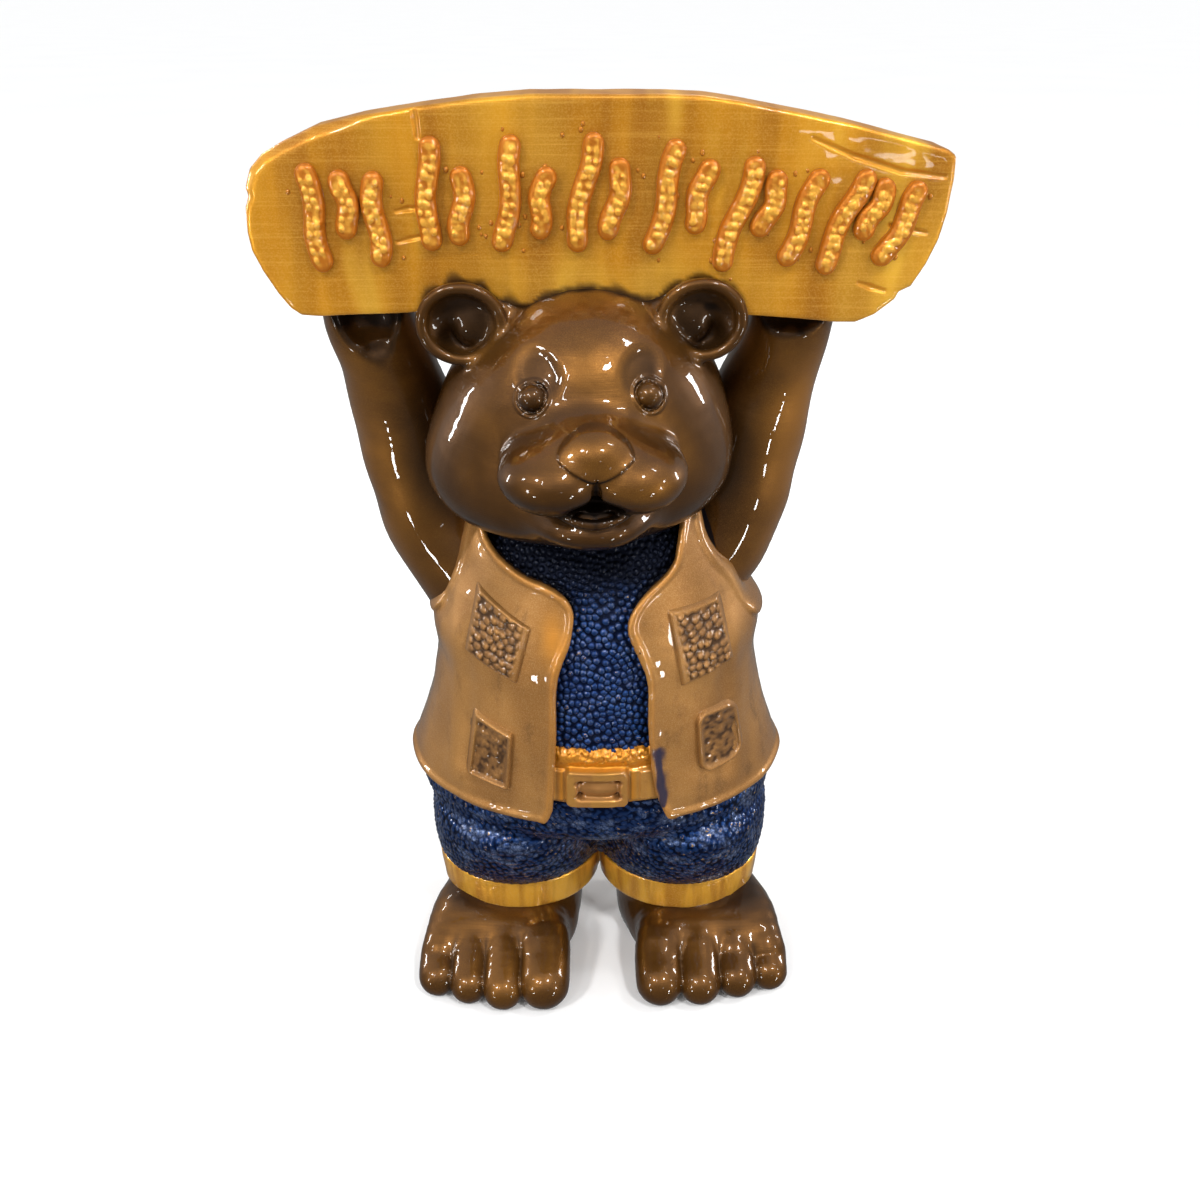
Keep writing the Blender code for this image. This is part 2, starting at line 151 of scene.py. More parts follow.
# Sign: its outline in X and Z, counter-clockwise as seen from the front, and its faces in Y.
SIGN_FRONT = -27.0
SIGN_BACK = -6.0
SIGN_TOP = 334.8
SIGN = (
    (-106.8, 305.8), (-108.0, 302.5), (-108.2, 295), (-107.6, 289.5), (-104.9, 283),
    (-100.9, 276.2), (-97.4, 271.4), (-94.3, 269.2), (-88, 268.8), (-62, 269.8), (-49, 270.8),
    (-20, 271.5), (18, 271), (47.7, 269.2), (65.4, 268.0), (77, 266.8), (83.7, 266.9),
    (89.6, 269.4), (95.6, 274.4), (96.4, 276.6), (100.1, 278.4), (104.1, 285.4), (107.1, 292.8),
    (108.9, 301), (109.6, 311), (109.4, 317.5), (106.7, 319.4), (97, 321.8), (77.2, 326.6),
    (55.5, 330.7), (42.9, 332.9), (33, SIGN_TOP - 0.5), (22, SIGN_TOP), (-20, SIGN_TOP),
    (-37, 333.5), (-54.4, 331.2), (-71.6, 328.7), (-85.2, 325.6), (-95.2, 321.2),
    (-101.5, 317.8), (-105.6, 313.6), (-107.6, 308),
)
# Cuts between the planks, on the front: x, z and radius along each.
PLANK_CUTS = (
    ((-54.0, 332, 0.8), (-53.6, 328, 1.0), (-53.3, 323, 0.8)),
    ((-61.5, 301.4, 0.5), (-57.5, 302.3, 0.8), (-53.4, 302.4, 0.6)),
    ((-61.6, 292.2, 0.5), (-57, 293.4, 0.8), (-52.7, 294.2, 0.6)),
    ((65.5, 322.6, 0.5), (78.5, 317.5, 0.9), (93, 313.2, 0.9), (106.5, 311.6, 0.7)),
    ((91.5, 297.4, 0.6), (97, 296.1, 0.9), (102.6, 295, 0.7)),
    ((83.2, 279.6, 0.6), (87, 278.4, 0.9), (91.5, 277.2, 0.7)),
)
# Cuts on the back, plainer and longer.
BACK_CUTS = (
    ((-104, 306, 0.8), (-60, 307.5, 1.0), (-10, 306, 0.8), (45, 307.5, 1.0), (106, 305.5, 0.8)),
    ((-101, 288, 0.8), (-55, 287, 1.0), (0, 289, 0.9), (50, 287, 1.0), (102, 288.5, 0.8)),
)

# Body sections, bottom to top: z, half width, depth in front, depth behind.
VEST = (
    (92, 73.5, 60, 47), (100, 71, 60.5, 47), (113, 66.5, 60, 46), (127, 63, 59.5, 45.5),
    (140, 61, 58.5, 45.5), (153, 62, 57, 45.5), (165, 57, 55, 44), (176, 52.5, 52, 42),
    (188, 48.5, 46.5, 38), (198, 43.5, 39, 32), (206, 37, 29, 26),
)
VEST_THICK = 4.6
VEST_FRONT = 6
NECK = ((HEAD_X, -8, 200), (34, 32, 24))
VEST_OPENING = (
    (-19.5, 84), (-17.0, 98), (-15.3, 127), (-14.8, 147), (-13.0, 156.3), (-9.8, 164.3),
    (-8.4, 171.3), (-8.7, 175.2), (-11.4, 178.7), (-16.9, 181.2), (-25.3, 183.1),
    (-31.8, 185.7), (-36.6, 188.5), (-39.7, 192), (-41, 200), (-41, 216), (33, 216),
    (31.6, 203), (30, 195.6), (29.1, 191.5), (28, 187.4), (24.6, 183.6), (17.7, 178.9),
    (13.2, 173), (12.7, 167.5), (16.5, 158), (19.2, 148), (19.8, 127), (23, 104), (26.5, 94),
    (29, 84),
)
ARMHOLES = (
    (
        (-43, 216), (-44.4, 200), (-46.5, 190), (-49.7, 178), (-51.6, 172.6), (-55.2, 165.7),
        (-60, 159.3), (-67, 154), (-92, 150), (-92, 216),
    ),
    (
        (34, 216), (34.8, 203), (36.4, 194.7), (38.3, 189.9), (42.8, 182.6), (48.5, 174.4),
        (54.6, 163.2), (60, 157.8), (67, 154), (92, 150), (92, 216),
    ),
)
SHORTS = (
    (68, 20, 12, 20), (70, 44, 26, 33), (73, 61, 39, 39), (77, 69, 49, 42.5),
    (82, 69.8, 53.6, 43.7), (88, 68.5, 55, 44), (99, 66, 56, 43),
)
LEG = (
    (30, 28, 26, 25), (38, 31.6, 29.4, 28.4), (43, 34.0, 34, 31.5), (50, 35.0, 40, 36),
    (58, 35.4, 44, 38.5), (66, 34.6, 46.5, 40.5), (73, 32, 47, 41), (80, 22, 38, 34),
)
LEG_X = (-32.1, 34.5)
ANKLE = ((2, 24, 22, 24), (20, 27, 25, 25), (30, 28, 26, 25), (40, 30, 27, 26))
CUFF = (
    (20, 32.4, 29.2, 28.5), (27.5, 33.0, 29.8, 29), (33, 33.7, 30.4, 29.6),
    (39, 34.1, 30.7, 29.9), (46, 34.4, 31, 30.2),
)
CUFF_MIDDLE = 33.2
CUFF_HALF = 7.3

# Pockets: name, look, which of its pair, and corners in X and Z, from the lower left one round.
POCKETS = (
    ("pocket_upper_right", "nuggets", 0,
     ((-46.5, 153.4), (-27.3, 147.5), (-21.9, 167.7), (-41.6, 176.1))),
    ("pocket_upper_left", "nuggets", 1,
     ((30.1, 145.9), (49.9, 148.8), (43.6, 172.0), (24.8, 173.0))),
    ("pocket_lower_right", "flapped", 0,
     ((-47.9, 104.6), (-31.1, 103.9), (-29.4, 126.7), (-43.8, 131.0))),
    ("pocket_lower_left", "flapped", 1,
     ((37.8, 107.6), (56.0, 108.6), (52.0, 130.6), (35.5, 133.8))),
)
PATCH_SINK = 2.5

# Belt: the patch's corners, then boxes of middle x and z, half width, half height and corner.
BELT = ((-23, 96.5), (33, 96.5), (33, 123.5), (-23, 123.5))
BUCKLE = (0.5, 106.6, 12.2, 8.4, 3.2)
BUCKLE_HOLE = (1.0, 106.4, 8.0, 4.3, 1.8)
BUCKLE_PITS = ((-6.0, 109.0), (-5.8, 103.6), (8.0, 109.3), (8.0, 103.4))
# The strap and its two loops: how far each stands out, and its box.
STRAP = (
    (1.8, 3, 107, 30, 6.6, 0.8), (1.2, -17.6, 107.0, 2.9, 7.2, 1.0),
    (1.2, 20.2, 107.6, 4.6, 6.6, 1.0),
)

# Feet: x of each toe from the outer to the inner one, how far forward it ends, and its radius.
TOES = (
    ((-63.6, -56.0, 7.8), (-50.8, -60.0, 7.8), (-37.0, -63.6, 8.2), (-20.8, -64.4, 10.0)),
    ((69.8, -52.5, 7.6), (56.4, -57.0, 8.2), (41.4, -61.0, 8.4), (25.4, -62.0, 9.4)),
)
HEELS = (((-37, -2, 8), (29, 31, 22)), ((40.5, -2, 8), (30, 31, 22)))
INSTEPS = (((-39, -15, 8), (31, 26, 18.5)), ((44.5, -15, 8), (31, 25, 18.5)))

STROKE_ROUND = 2.4
STROKE_BED = SIGN_FRONT + 0.2
DROPS = 70
# Rope-like strokes across the sign: the middle's x and z, the length, and the lean in degrees.
STROKES = (
    (-86.5, 299.5, 31, -6), (-76.5, 303.5, 19, -4), (-67.5, 299, 27, -2), (-51.0, 306.5, 32, 2),
    (-41.0, 303, 22, 4), (-26.5, 306.5, 33, 7), (-16.5, 304, 20, 8), (-3.5, 307, 34, 10),
    (6.5, 305, 23, 11), (21.5, 305.5, 33, 13), (32.0, 306, 21, 14), (44.0, 300.5, 34, 17),
    (54.0, 303.5, 19, 18), (64.0, 299.5, 29, 20), (76.5, 298.5, 32, 22), (86.0, 302, 18, 23),
    (94.5, 297.5, 26, 25),
)

# Painted light and shade: strength, middle x, width, middle z and height.
# On the face, painted highlights; the rest of the face's front gets painted shade.
FACE_PAINTED_LIGHT = (
    (1, 0, 26, 268, 17), (1, 0, 13, 239, 6), (0.8, 17, 14, 229, 8), (0.5, -34, 12, 255, 12),
)
# On the sign, lighter and darker places of painted reflection.
SIGN_PAINTED_REFLECTION = ((0.8, 10, 50, 279, 8),)
SIGN_PAINTED_DARK_REFLECTION = ((1, -62, 26, 290, 26), (0.7, 40, 18, 318, 14))

# The room that each form is looked for in: its lowest and highest corners.
HEAD_ROOM = ((-64, -86, 187), (53, 40, 286))
SHIRT_ROOM = ((-74, -66, 94), (74, 48, 222))
SHORTS_ROOM = ((-76, -62, 28), (76, 50, 101))
CUFF_ROOM = ((-70, -36, 24), (72, 34, 43))
VEST_ROOM = ((-80, -68, 88), (80, 54, 212))
SIGN_ROOM = ((-112, -31, 264), (113, -2, 338))

# Sides of quads: against the sidebar's size, and in millimetres.
HEAD_QUAD, ARM_QUAD, FOOT_QUAD, CUFF_QUAD = 1.18, 1.1, 0.88, 1.1
SHIRT_CELL, CLOTH_CELL, SIGN_CELL, STROKE_CELL = 2.9, 1.5, 1.05, 0.67
# How near the vest's edges the finer quads reach.
EDGE_REACH = 2.6


def measure(name, description, default):
    """A length that a user may change, in metres."""
    return FloatProperty(name=name, description=description, default=default, unit="LENGTH")


def colour(name, description, default):
    """A colour that a user may change."""
    settings = {"subtype": "COLOR", "size": 3, "min": 0.0, "max": 1.0}
    return FloatVectorProperty(name=name, description=description, default=default, **settings)


class BearSizes(bpy.types.PropertyGroup):
    """Sizes of the relief."""

    quad: measure("Quad", "Side of the quads over the plain forms", 0.0011)
    knit_gap: measure("Knit gap", "From one bump of knitted cloth to the next", 0.0021)
    knit_height: measure("Knit height", "How far the shirt's bumps stand out", 0.00085)
    shorts_height: measure("Shorts height", "How far the shorts' bumps stand out", 0.00055)
    lip: measure("Lip", "Radius of the vest's rolled edges", 0.0013)
    stroke: measure("Stroke", "Half the width of a stroke on the sign", 0.0033)
    stroke_height: measure("Stroke height", "How far a stroke stands out", 0.0032)
    ripple: measure("Ripple", "Height of the waves in the clear coat", 0.00008)


class BearColours(bpy.types.PropertyGroup):
    """Colours of the paints."""

    brown: colour("Brown", "Metallic brown of the fur", (0.175, 0.07, 0.009))
    brown_deep: colour("Deep brown", "Brown in the hollows", (0.045, 0.016, 0.0035))
    bronze: colour("Bronze", "Metallic tan of the vest", (0.28, 0.125, 0.03))
    bronze_deep: colour("Deep bronze", "The vest's darker patches", (0.2, 0.085, 0.022))
    blue: colour("Blue", "The knitted cloth", (0.004, 0.036, 0.15))
    # Painted shade between the knit's bumps.
    blue_painted_shade: colour("Deep blue", "Between the knit's bumps", (0.001, 0.004, 0.018))
    # Pale hazy patches on the knit, strongest on the shorts.
    haze: colour("Haze", "Rubbed places on the shorts", (0.2, 0.26, 0.42))
    gold: colour("Gold", "Cuffs and belt", (0.84, 0.42, 0.04))
    # Darker gold of the painted reflection bands.
    gold_reflection_dark: colour("Deep gold", "Gold in the hollows", (0.35, 0.115, 0.008))
    plank: colour("Plank gold", "Face of the sign", (0.67, 0.285, 0.012))
    # Darker and brighter gold of the sign's painted reflection.
    plank_reflection_dark: colour("Deep plank gold", "The sign's darker bands", (0.33, 0.12, 0.004))
    plank_reflection_light: colour("Light plank gold", "The sign's brightest bands", (0.88, 0.50, 0.05))
    # The strokes' own orange and gold, laid on as painted shade in the valleys and partly painted
    # highlight on the tops.
    orange: colour("Orange", "Sides of the strokes", (0.44, 0.135, 0.008))
    bead: colour("Bead gold", "Rope-like tops of the strokes", (0.80, 0.40, 0.05))
    floor: colour("Floor", "The studio floor", (0.86, 0.86, 0.86))


# ---- forms


def between(rows, steps, closed=False):
    """Rows of numbers, filled in between by a curve that passes through each of them."""
    rows = np.array(rows, float)
    lead, tail = (rows[-1:], rows[:2]) if closed else (rows[:1], rows[-1:])
    rows = np.concatenate((lead, rows, tail))
    t = np.arange(steps)[:, None] / steps
    filled = []
    for before, start, end, after in zip(rows, rows[1:], rows[2:], rows[3:]):
        bend = 2 * before - 5 * start + 4 * end - after
        twist = 3 * start - before - 3 * end + after
        filled.append(start + 0.5 * t * (end - before + t * (bend + t * twist)))
    return np.concatenate(filled if closed else [*filled, tail])


def melt(first, second, soft):
    """Two forms run together, with a fillet of about the soft width."""
    near = np.maximum(soft - np.abs(first - second), 0.0) / soft
    return np.minimum(first, second) - near * near * soft / 4


def carve(body, tool, soft):
    """A form with another one taken out of it."""
    return -melt(-body, tool, soft)


def overlap(first, second, soft):
    """What two forms share."""
    return -melt(-first, -second, soft)


def dome(x, y, z, centre, radii):
    """An ellipsoid."""
    across = (x - centre[0]) / radii[0]
    along = (y - centre[1]) / radii[1]
    up = (z - centre[2]) / radii[2]
    reach = np.sqrt(across**2 + along**2 + up**2)
    slope = np.sqrt((across / radii[0]) ** 2 + (along / radii[1]) ** 2 + (up / radii[2]) ** 2)
    return reach * (reach - 1) / (slope + 1e-6)


def limb(x, y, z, knots, steps=1, soft=0.4):
    """A round bar of changing radius along a path of (x, y, z, radius) knots."""
    path = between(knots, steps) if steps > 1 else np.array(knots, float)
    nearest = None
    for start, end in zip(path, path[1:]):
        way = end[:3] - start[:3]
        right, back, up = x - start[0], y - start[1], z - start[2]
        share = (right * way[0] + back * way[1] + up * way[2]) / way.dot(way)
        share = np.clip(share, 0.0, 1.0)
        flat = (right - share * way[0]) ** 2 + (back - share * way[1]) ** 2
        gap = np.sqrt(flat + (up - share * way[2]) ** 2)
        gap = gap - start[3] - share * (end[3] - start[3])
        nearest = gap if nearest is None else melt(nearest, gap, soft)
    return nearest


def stacked(x, y, z, rows, inset=0.0):
    """A form through level sections of (z, half width, depth in front, depth behind)."""
    fine = between(rows, 8)
    heights = fine[:, 0]
    sizes = [np.interp(z, heights, fine[:, k] - inset) for k in (1, 2, 3)]
    steps = [np.interp(z, heights, np.gradient(fine[:, k], heights)) for k in (1, 2, 3)]
    wide = sizes[0]
    deep = np.where(y < 0, sizes[1], sizes[2])
    deep_step = np.where(y < 0, steps[1], steps[2])
    reach = np.sqrt((x / wide) ** 2 + (y / deep) ** 2) + 1e-6
    lean = ((x / wide) ** 2 * steps[0] / wide + (y / deep) ** 2 * deep_step / deep) / reach**2
    slope = np.sqrt((x / (wide**2 * reach)) ** 2 + (y / (deep**2 * reach)) ** 2 + lean**2) + 1e-6
    side = (reach - 1) / slope
    return np.maximum(side, np.maximum(heights[0] - z, z - heights[-1]))


def outline_gap(x, z, outline):
    """How far a place is from an outline drawn in X and Z, under zero inside it."""
    nearest = None
    inside = None
    ends = np.roll(outline, -1, axis=0)
    for (x0, z0), (x1, z1) in zip(outline, ends):
        wide, high = x1 - x0, z1 - z0
        share = np.clip(((x - x0) * wide + (z - z0) * high) / (wide**2 + high**2), 0.0, 1.0)
        gap = (x - x0 - share * wide) ** 2 + (z - z0 - share * high) ** 2
        straddles = (z0 > z) != (z1 > z)
        crossing = straddles & (x < x0 + (z - z0) * wide / (high if abs(high) > 1e-9 else 1e-9))
        nearest = gap if nearest is None else np.minimum(nearest, gap)
        inside = crossing if inside is None else inside ^ crossing
    return np.where(inside, -1.0, 1.0) * np.sqrt(nearest)


def ripple(points, length, seed, waves=10):
    """Smooth random waves of about the given length, mostly between -1 and 1."""
    chance = np.random.default_rng(seed)
    total = np.zeros(len(points))
    for _ in range(waves):
        way = chance.normal(size=3)
        way *= 2 * math.pi / (np.linalg.norm(way) * length * chance.uniform(0.75, 1.4))
        total += np.sin(points @ way + chance.uniform(0, 2 * math.pi))
    return total / math.sqrt(waves * 1.6)


def ramp(value, low, high):
    """From 0 at the low end to 1 at the high end, with soft ends."""
    share = np.clip((value - low) / (high - low), 0.0, 1.0)
    return share * share * (3 - 2 * share)


def hump(gap, width, other=0.0, height=1.0):
    """1 where there is no gap, and soon 0 past the width: a long ridge, or a round patch."""
    return np.exp(-((gap / width) ** 2) - (other / height) ** 2)


def light_and_shade_patches(x, z, *rows):
    """Soft patches of painted light and shade added up: strength, middle x, width, middle z and
    height of each.
    """
    return sum(part * hump(x - right, wide, z - up, high) for part, right, wide, up, high in rows)


# ---- skins

CORNERS = tuple(product((0, 1), repeat=3))
RING = ((0, 0), (1, 0), (1, 1), (0, 1))


def skin(form, low, high, cell):
    """A mesh of quads over the places where a form goes from inside to outside."""
    low = np.array(low, float)
    counts = [int((top - start) / cell) + 2 for start, top in zip(low, high)]
    lines = [start + cell * np.arange(count) for start, count in zip(low, counts)]
    values = form(*np.meshgrid(*lines, indexing="ij", sparse=True))
    values = np.ascontiguousarray(np.broadcast_to(values, counts))
    inside = values < 0
    room = [count - 1 for count in counts]
    total = np.zeros(room, np.int8)
    for i, j, k in CORNERS:
        total += inside[i : i + room[0], j : j + room[1], k : k + room[2]]
    mixed = (total > 0) & (total < 8)
    number = np.full(room, -1)
    number[mixed] = np.arange(mixed.sum())
    cells = np.argwhere(mixed)
    places = np.zeros((len(cells), 3))
    hits = np.zeros(len(cells))
    ways = np.eye(3, dtype=int)
    for start, way in product(CORNERS, ways):
        if way @ start:
            continue
        first = values[tuple((cells + start).T)]
        second = values[tuple((cells + start + way).T)]
        crossing = (first < 0) != (second < 0)
        share = first / np.where(crossing, first - second, 1.0)
        places += crossing[:, None] * (start + share[:, None] * way)
        hits += crossing
    points = low + cell * (cells + places / hits[:, None])
    quads = []
    for axis in range(3):
        u, v = (axis + 1) % 3, (axis + 2) % 3
        starts = np.argwhere(np.diff(inside.astype(np.int8), axis=axis))
        sides = starts[:, (u, v)]
        starts = starts[((sides > 0) & (sides < (room[u], room[v]))).all(1)]
        quad = np.stack([number[tuple((starts - a * ways[u] - b * ways[v]).T)] for a, b in RING], 1)
        outward = inside[tuple(starts.T)]
        quad[~outward] = quad[~outward][:, ::-1]
        quads.append(quad)
    mesh = bpy.data.meshes.new("skin")
    mesh.from_pydata(points, [], np.concatenate(quads))
    settle(mesh, form, cell)
    return mesh


def points_of(mesh):
    """A mesh's points as an array."""
    points = np.zeros(len(mesh.vertices) * 3)
    mesh.vertices.foreach_get("co", points)
    return points.reshape(-1, 3)


def normals_of(mesh):
    """Which way a mesh faces at each point."""
    mesh.update()
    normals = np.zeros(len(mesh.vertices) * 3)
    mesh.vertex_normals.foreach_get("vector", normals)
    return normals.reshape(-1, 3)


def put_points(mesh, points):
    """Move a mesh's points."""
    mesh.vertices.foreach_set("co", np.ascontiguousarray(points, dtype=np.float32).ravel())
    mesh.update()


def settle(mesh, form, cell, rounds=3):
    """Draw a mesh's points onto the form itself, so that the skin isn't stepped."""
    points = points_of(mesh)
    step = 0.04
    for _ in range(rounds):
        value = form(*points.T)
        slope = np.zeros_like(points)
        for axis in range(3):
            ahead, behind = points.copy(), points.copy()
            ahead[:, axis] += step
            behind[:, axis] -= step
            slope[:, axis] = (form(*ahead.T) - form(*behind.T)) / (2 * step)
        move = slope * (value / np.maximum((slope**2).sum(1), 0.05))[:, None]
        length = np.linalg.norm(move, axis=1)
        points -= move * np.minimum(1.0, 0.5 * cell / np.maximum(length, 1e-6))[:, None]
    put_points(mesh, points)


def refine(mesh, form, where, cell):
    """Cut each chosen quad into four, and draw the new points onto the form."""
    body = bmesh.new()
    body.from_mesh(mesh)
    body.faces.ensure_lookup_table()
    centres = np.array([face.calc_center_median() for face in body.faces])
    chosen = where(*centres.T)
    edges = [edge for edge in body.edges if any(chosen[face.index] for face in edge.link_faces)]
    bmesh.ops.subdivide_edges(body, edges=edges, cuts=1, use_grid_fill=True)
    body.to_mesh(mesh)
    body.free()
    settle(mesh, form, cell)


def press(mesh, heights):
    """Move each point along its own normal, in millimetres."""
    put_points(mesh, points_of(mesh) + normals_of(mesh) * heights[:, None])


def coat_waves(mesh, seed, small=1.0):
    """The slow waves of a thick clear coat, with more or less of the small ones."""
    points = points_of(mesh)
    waves = ripple(points, 16, seed)
    waves += small * (0.45 * ripple(points, 6.5, seed + 1) + 0.2 * ripple(points, 3.2, seed + 2))
    press(mesh, size("ripple") * waves)


def scatter(points, gap, seed):
    """Places picked among the points, none closer to another than the gap."""
    taken = {}
    picked = []
    around = tuple(product((-1, 0, 1), repeat=3))
    cells = np.floor(points / gap).astype(int)
    for index in np.random.default_rng(seed).permutation(len(points)):
        x, y, z = points[index]
        i, j, k = cells[index]
        near = [place for di, dj, dk in around for place in taken.get((i + di, j + dj, k + dk), ())]
        if all((x - ox) ** 2 + (y - oy) ** 2 + (z - oz) ** 2 >= gap * gap for ox, oy, oz in near):
            taken.setdefault((i, j, k), []).append((x, y, z))
            picked.append(index)
    return points[picked]


def tree_of(places):
    """The places in a tree that finds the nearest ones."""
    tree = kdtree.KDTree(len(places))
    for index, place in enumerate(places):
        tree.insert(place, index)
    tree.balance()
    return tree


def nearest_two(points, seeds):
    """For each point, how far the nearest seed and the next one are, and which the nearest is."""
    tree = tree_of(seeds)
    found = [tree.find_n(point, 2) for point in points]
    first = np.array([nearest[2] for nearest, _ in found])
    second = np.array([after[2] for _, after in found])
    return first, second, np.array([nearest[1] for nearest, _ in found])


def meeting(points, others, reach):
    """1 where a place touches one of the others, down to 0 at the reach."""
    tree = tree_of(others)
    gaps = np.full(len(points), 1e3)
    low, high = others.min(0) - 2 * reach.max(), others.max(0) + 2 * reach.max()
    near = np.flatnonzero(((points > low) & (points < high)).all(1))
    for index in near:
        gaps[index] = tree.find(points[index])[2]
    return 1 - ramp(gaps / reach, 0.1, 1.0)


def placed(*names):
    """The points of finished pieces, back in this script's millimetres."""
    meshes = [bpy.data.objects[name].data for name in names if name in bpy.data.objects]
    return np.concatenate([points_of(mesh) / MM - SHIFT for mesh in meshes])


def finish_piece(mesh, name, paint, marks):
    """Move a mesh to the CAD part's place, in metres, and hand it over with its finish.

    Its marks are kept between 0 and 1.
    """
    if not mesh.polygons:
        raise RuntimeError(f"{name} has no faces")
    put_points(mesh, (points_of(mesh) + SHIFT) * MM)
    mesh.name = name
    for key, values in marks.items():
        layer = mesh.attributes.new(key, "FLOAT", "POINT")
        values = np.clip(values, 0, 1)
        layer.data.foreach_set("value", np.ascontiguousarray(values, dtype=np.float32))
    mesh.shade_smooth()
    mesh.materials.append(paint)
    piece = bpy.data.objects.new(name, mesh)
    bpy.context.scene.collection.objects.link(piece)
    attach(piece, "root")
    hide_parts(CASTING)


def size(name):
    """One of the sizes in the sidebar, in millimetres."""
    return getattr(bpy.context.scene.bear_sizes, name) / MM


# ---- paints


def maths(operation):
    """The two forms of an overload that adds a Math node: with the wire first, and with it last."""

    def first(wire, other):
        return wire.bench.node("ShaderNodeMath", {"operation": operation}, {0: wire, 1: other})

    def last(wire, other):
        return wire.bench.node("ShaderNodeMath", {"operation": operation}, {0: other, 1: wire})

    return first, last


class Wire:
    """A node's output that can stand in a sum, such as 1 - mask * 0.5."""

    __add__, __radd__ = maths("ADD")
    __sub__, __rsub__ = maths("SUBTRACT")
    __mul__, __rmul__ = maths("MULTIPLY")

    def __init__(self, bench, socket):
        self.bench = bench
        self.socket = socket


class Bench:
    """The nodes of one paint, or of the studio's sky."""

    def __init__(self, name, shelf="materials"):
        self.paint = getattr(bpy.data, shelf).new(name)
        self.paint.use_nodes = True
        self.tree = self.paint.node_tree
        self.tree.nodes.clear()

    def node(self, kind, settings=None, sockets=None, output=0):
        """Any node: its settings first, then its sockets' values and links."""
        made = self.tree.nodes.new(kind)
        for key, value in (settings or {}).items():
            setattr(made, key, value)
        for key, value in (sockets or {}).items():
            if isinstance(value, Wire):
                self.tree.links.new(value.socket, made.inputs[key])
            else:
                made.inputs[key].default_value = value
        return Wire(self, made.outputs[output]) if made.outputs else None

    def noise(self, *stretch, detail=2.0, rough=0.5):
        """Random grey from 0 to 1, with one size in millimetres or one along each of X, Y and Z."""
        here = self.node("ShaderNodeTexCoord", output="Object")
        axes = stretch if len(stretch) > 1 else stretch * 3
        counted = tuple(1.0 / (millimetres * MM) for millimetres in axes)
        place = self.node("ShaderNodeVectorMath", {"operation": "MULTIPLY"}, {0: here, 1: counted})
        sockets = {"Vector": place, "Scale": 1.0, "Detail": detail, "Roughness": rough}
        return self.node("ShaderNodeTexNoise", {}, sockets)

    def patches(self, low, high, *stretch, detail=2.0, rough=0.5):
        """Noise that is 0 up to the low end and 1 from the high end."""
        return self.soft(self.noise(*stretch, detail=detail, rough=rough), low, high)

    def mark(self, key):
        """A number that the piece carries at each of its points."""
        return self.node("ShaderNodeAttribute", {"attribute_name": key}, output="Fac")

    def soft(self, value, low, high):
        """0 up to the low end, 1 from the high end, and smooth in between."""
        sockets = {"Value": value, "From Min": low, "From Max": high}
        return self.node("ShaderNodeMapRange", {"interpolation_type": "SMOOTHSTEP"}, sockets)

    def mix(self, share, first, second):
        """From the first colour to the second."""
        first = first if isinstance(first, Wire) else (*first, 1.0)
        second = second if isinstance(second, Wire) else (*second, 1.0)
        settings = {"data_type": "RGBA", "clamp_factor": True}
        return self.node("ShaderNodeMix", settings, {0: share, 6: first, 7: second}, output=2)

    def stain(self, base, **stains):
        """A colour laid over the base wherever the piece carries the mark of that name."""
        for key, shade in stains.items():
            base = self.mix(self.mark(key), base, shade)
        return base

    def flakes(self, base, share, millimetres, shade, low=0.35):
        """Bright metal flakes over the base, and where they are."""
        flake = self.patches(low, 0.8, millimetres, detail=1.0)
        return self.mix(flake * share, base, shade), flake

    def bump(self, height, strength, distance):
        """Relief too fine to model, in metres."""
        sockets = {"Height": height, "Strength": strength, "Distance": distance}
        return self.node("ShaderNodeBump", {}, sockets)

    def print_lines(self, strength):
        """The fine level lines that a print has."""
        return self.bump(self.noise(30, 30, 0.38, detail=1.0), strength, 0.12 * MM)

    def lacquer(
        self, base, metallic, roughness, normal, coat=1.0, seam=None, gloss=0.025, bend=1.31
    ):
        """Paint under a thick, clear coat that stays smooth over the paint's own relief."""
        if seam is not None:
            coat = coat - seam * (0.85 * coat)
        sockets = {
            "Base Color": base,
            "Metallic": metallic,
            "Roughness": roughness,
            "Normal": normal,
            "Coat Weight": coat,
            "Coat Roughness": gloss,
            "Coat IOR": bend,
            "Specular IOR Level": 0.2,
        }
        return self.surface(sockets)

    def surface(self, sockets):
        """The shader that the sockets are for, and the finished paint."""
        shader = self.node("ShaderNodeBsdfPrincipled", {}, sockets)
        self.node("ShaderNodeOutputMaterial", {}, {"Surface": shader})
        return self.paint


def paint_brown(name):
    """Metallic brown with painted light and shade: painted shade in hollows, and dark where it
    meets other paint.
    """
    colours = bpy.context.scene.bear_colours
    bench = Bench(name)
    cloud = bench.patches(0.32, 0.68, 26, 26, 20, detail=3.0)
    base = bench.mix(0.35 + cloud * 0.65, colours.brown_deep, colours.brown)
    base, flake = bench.flakes(base, 0.3, 0.22, (0.42, 0.2, 0.045), low=0.4)
    # Painted light, then painted shade, then dark seams with more painted shade in hollows and
    # under things.
    base = bench.stain(
        base, lit=(0.42, 0.18, 0.035), deep=(0.055, 0.021, 0.003), seam=(0.012, 0.006, 0.003)
    )
    roughness = 0.4 + 0.12 * bench.noise(9) - flake * 0.12
    joint = bench.soft(bench.mark("seam"), 0.5, 1.0)
    return bench.lacquer(base, 0.7, roughness, bench.print_lines(0.35), seam=joint)


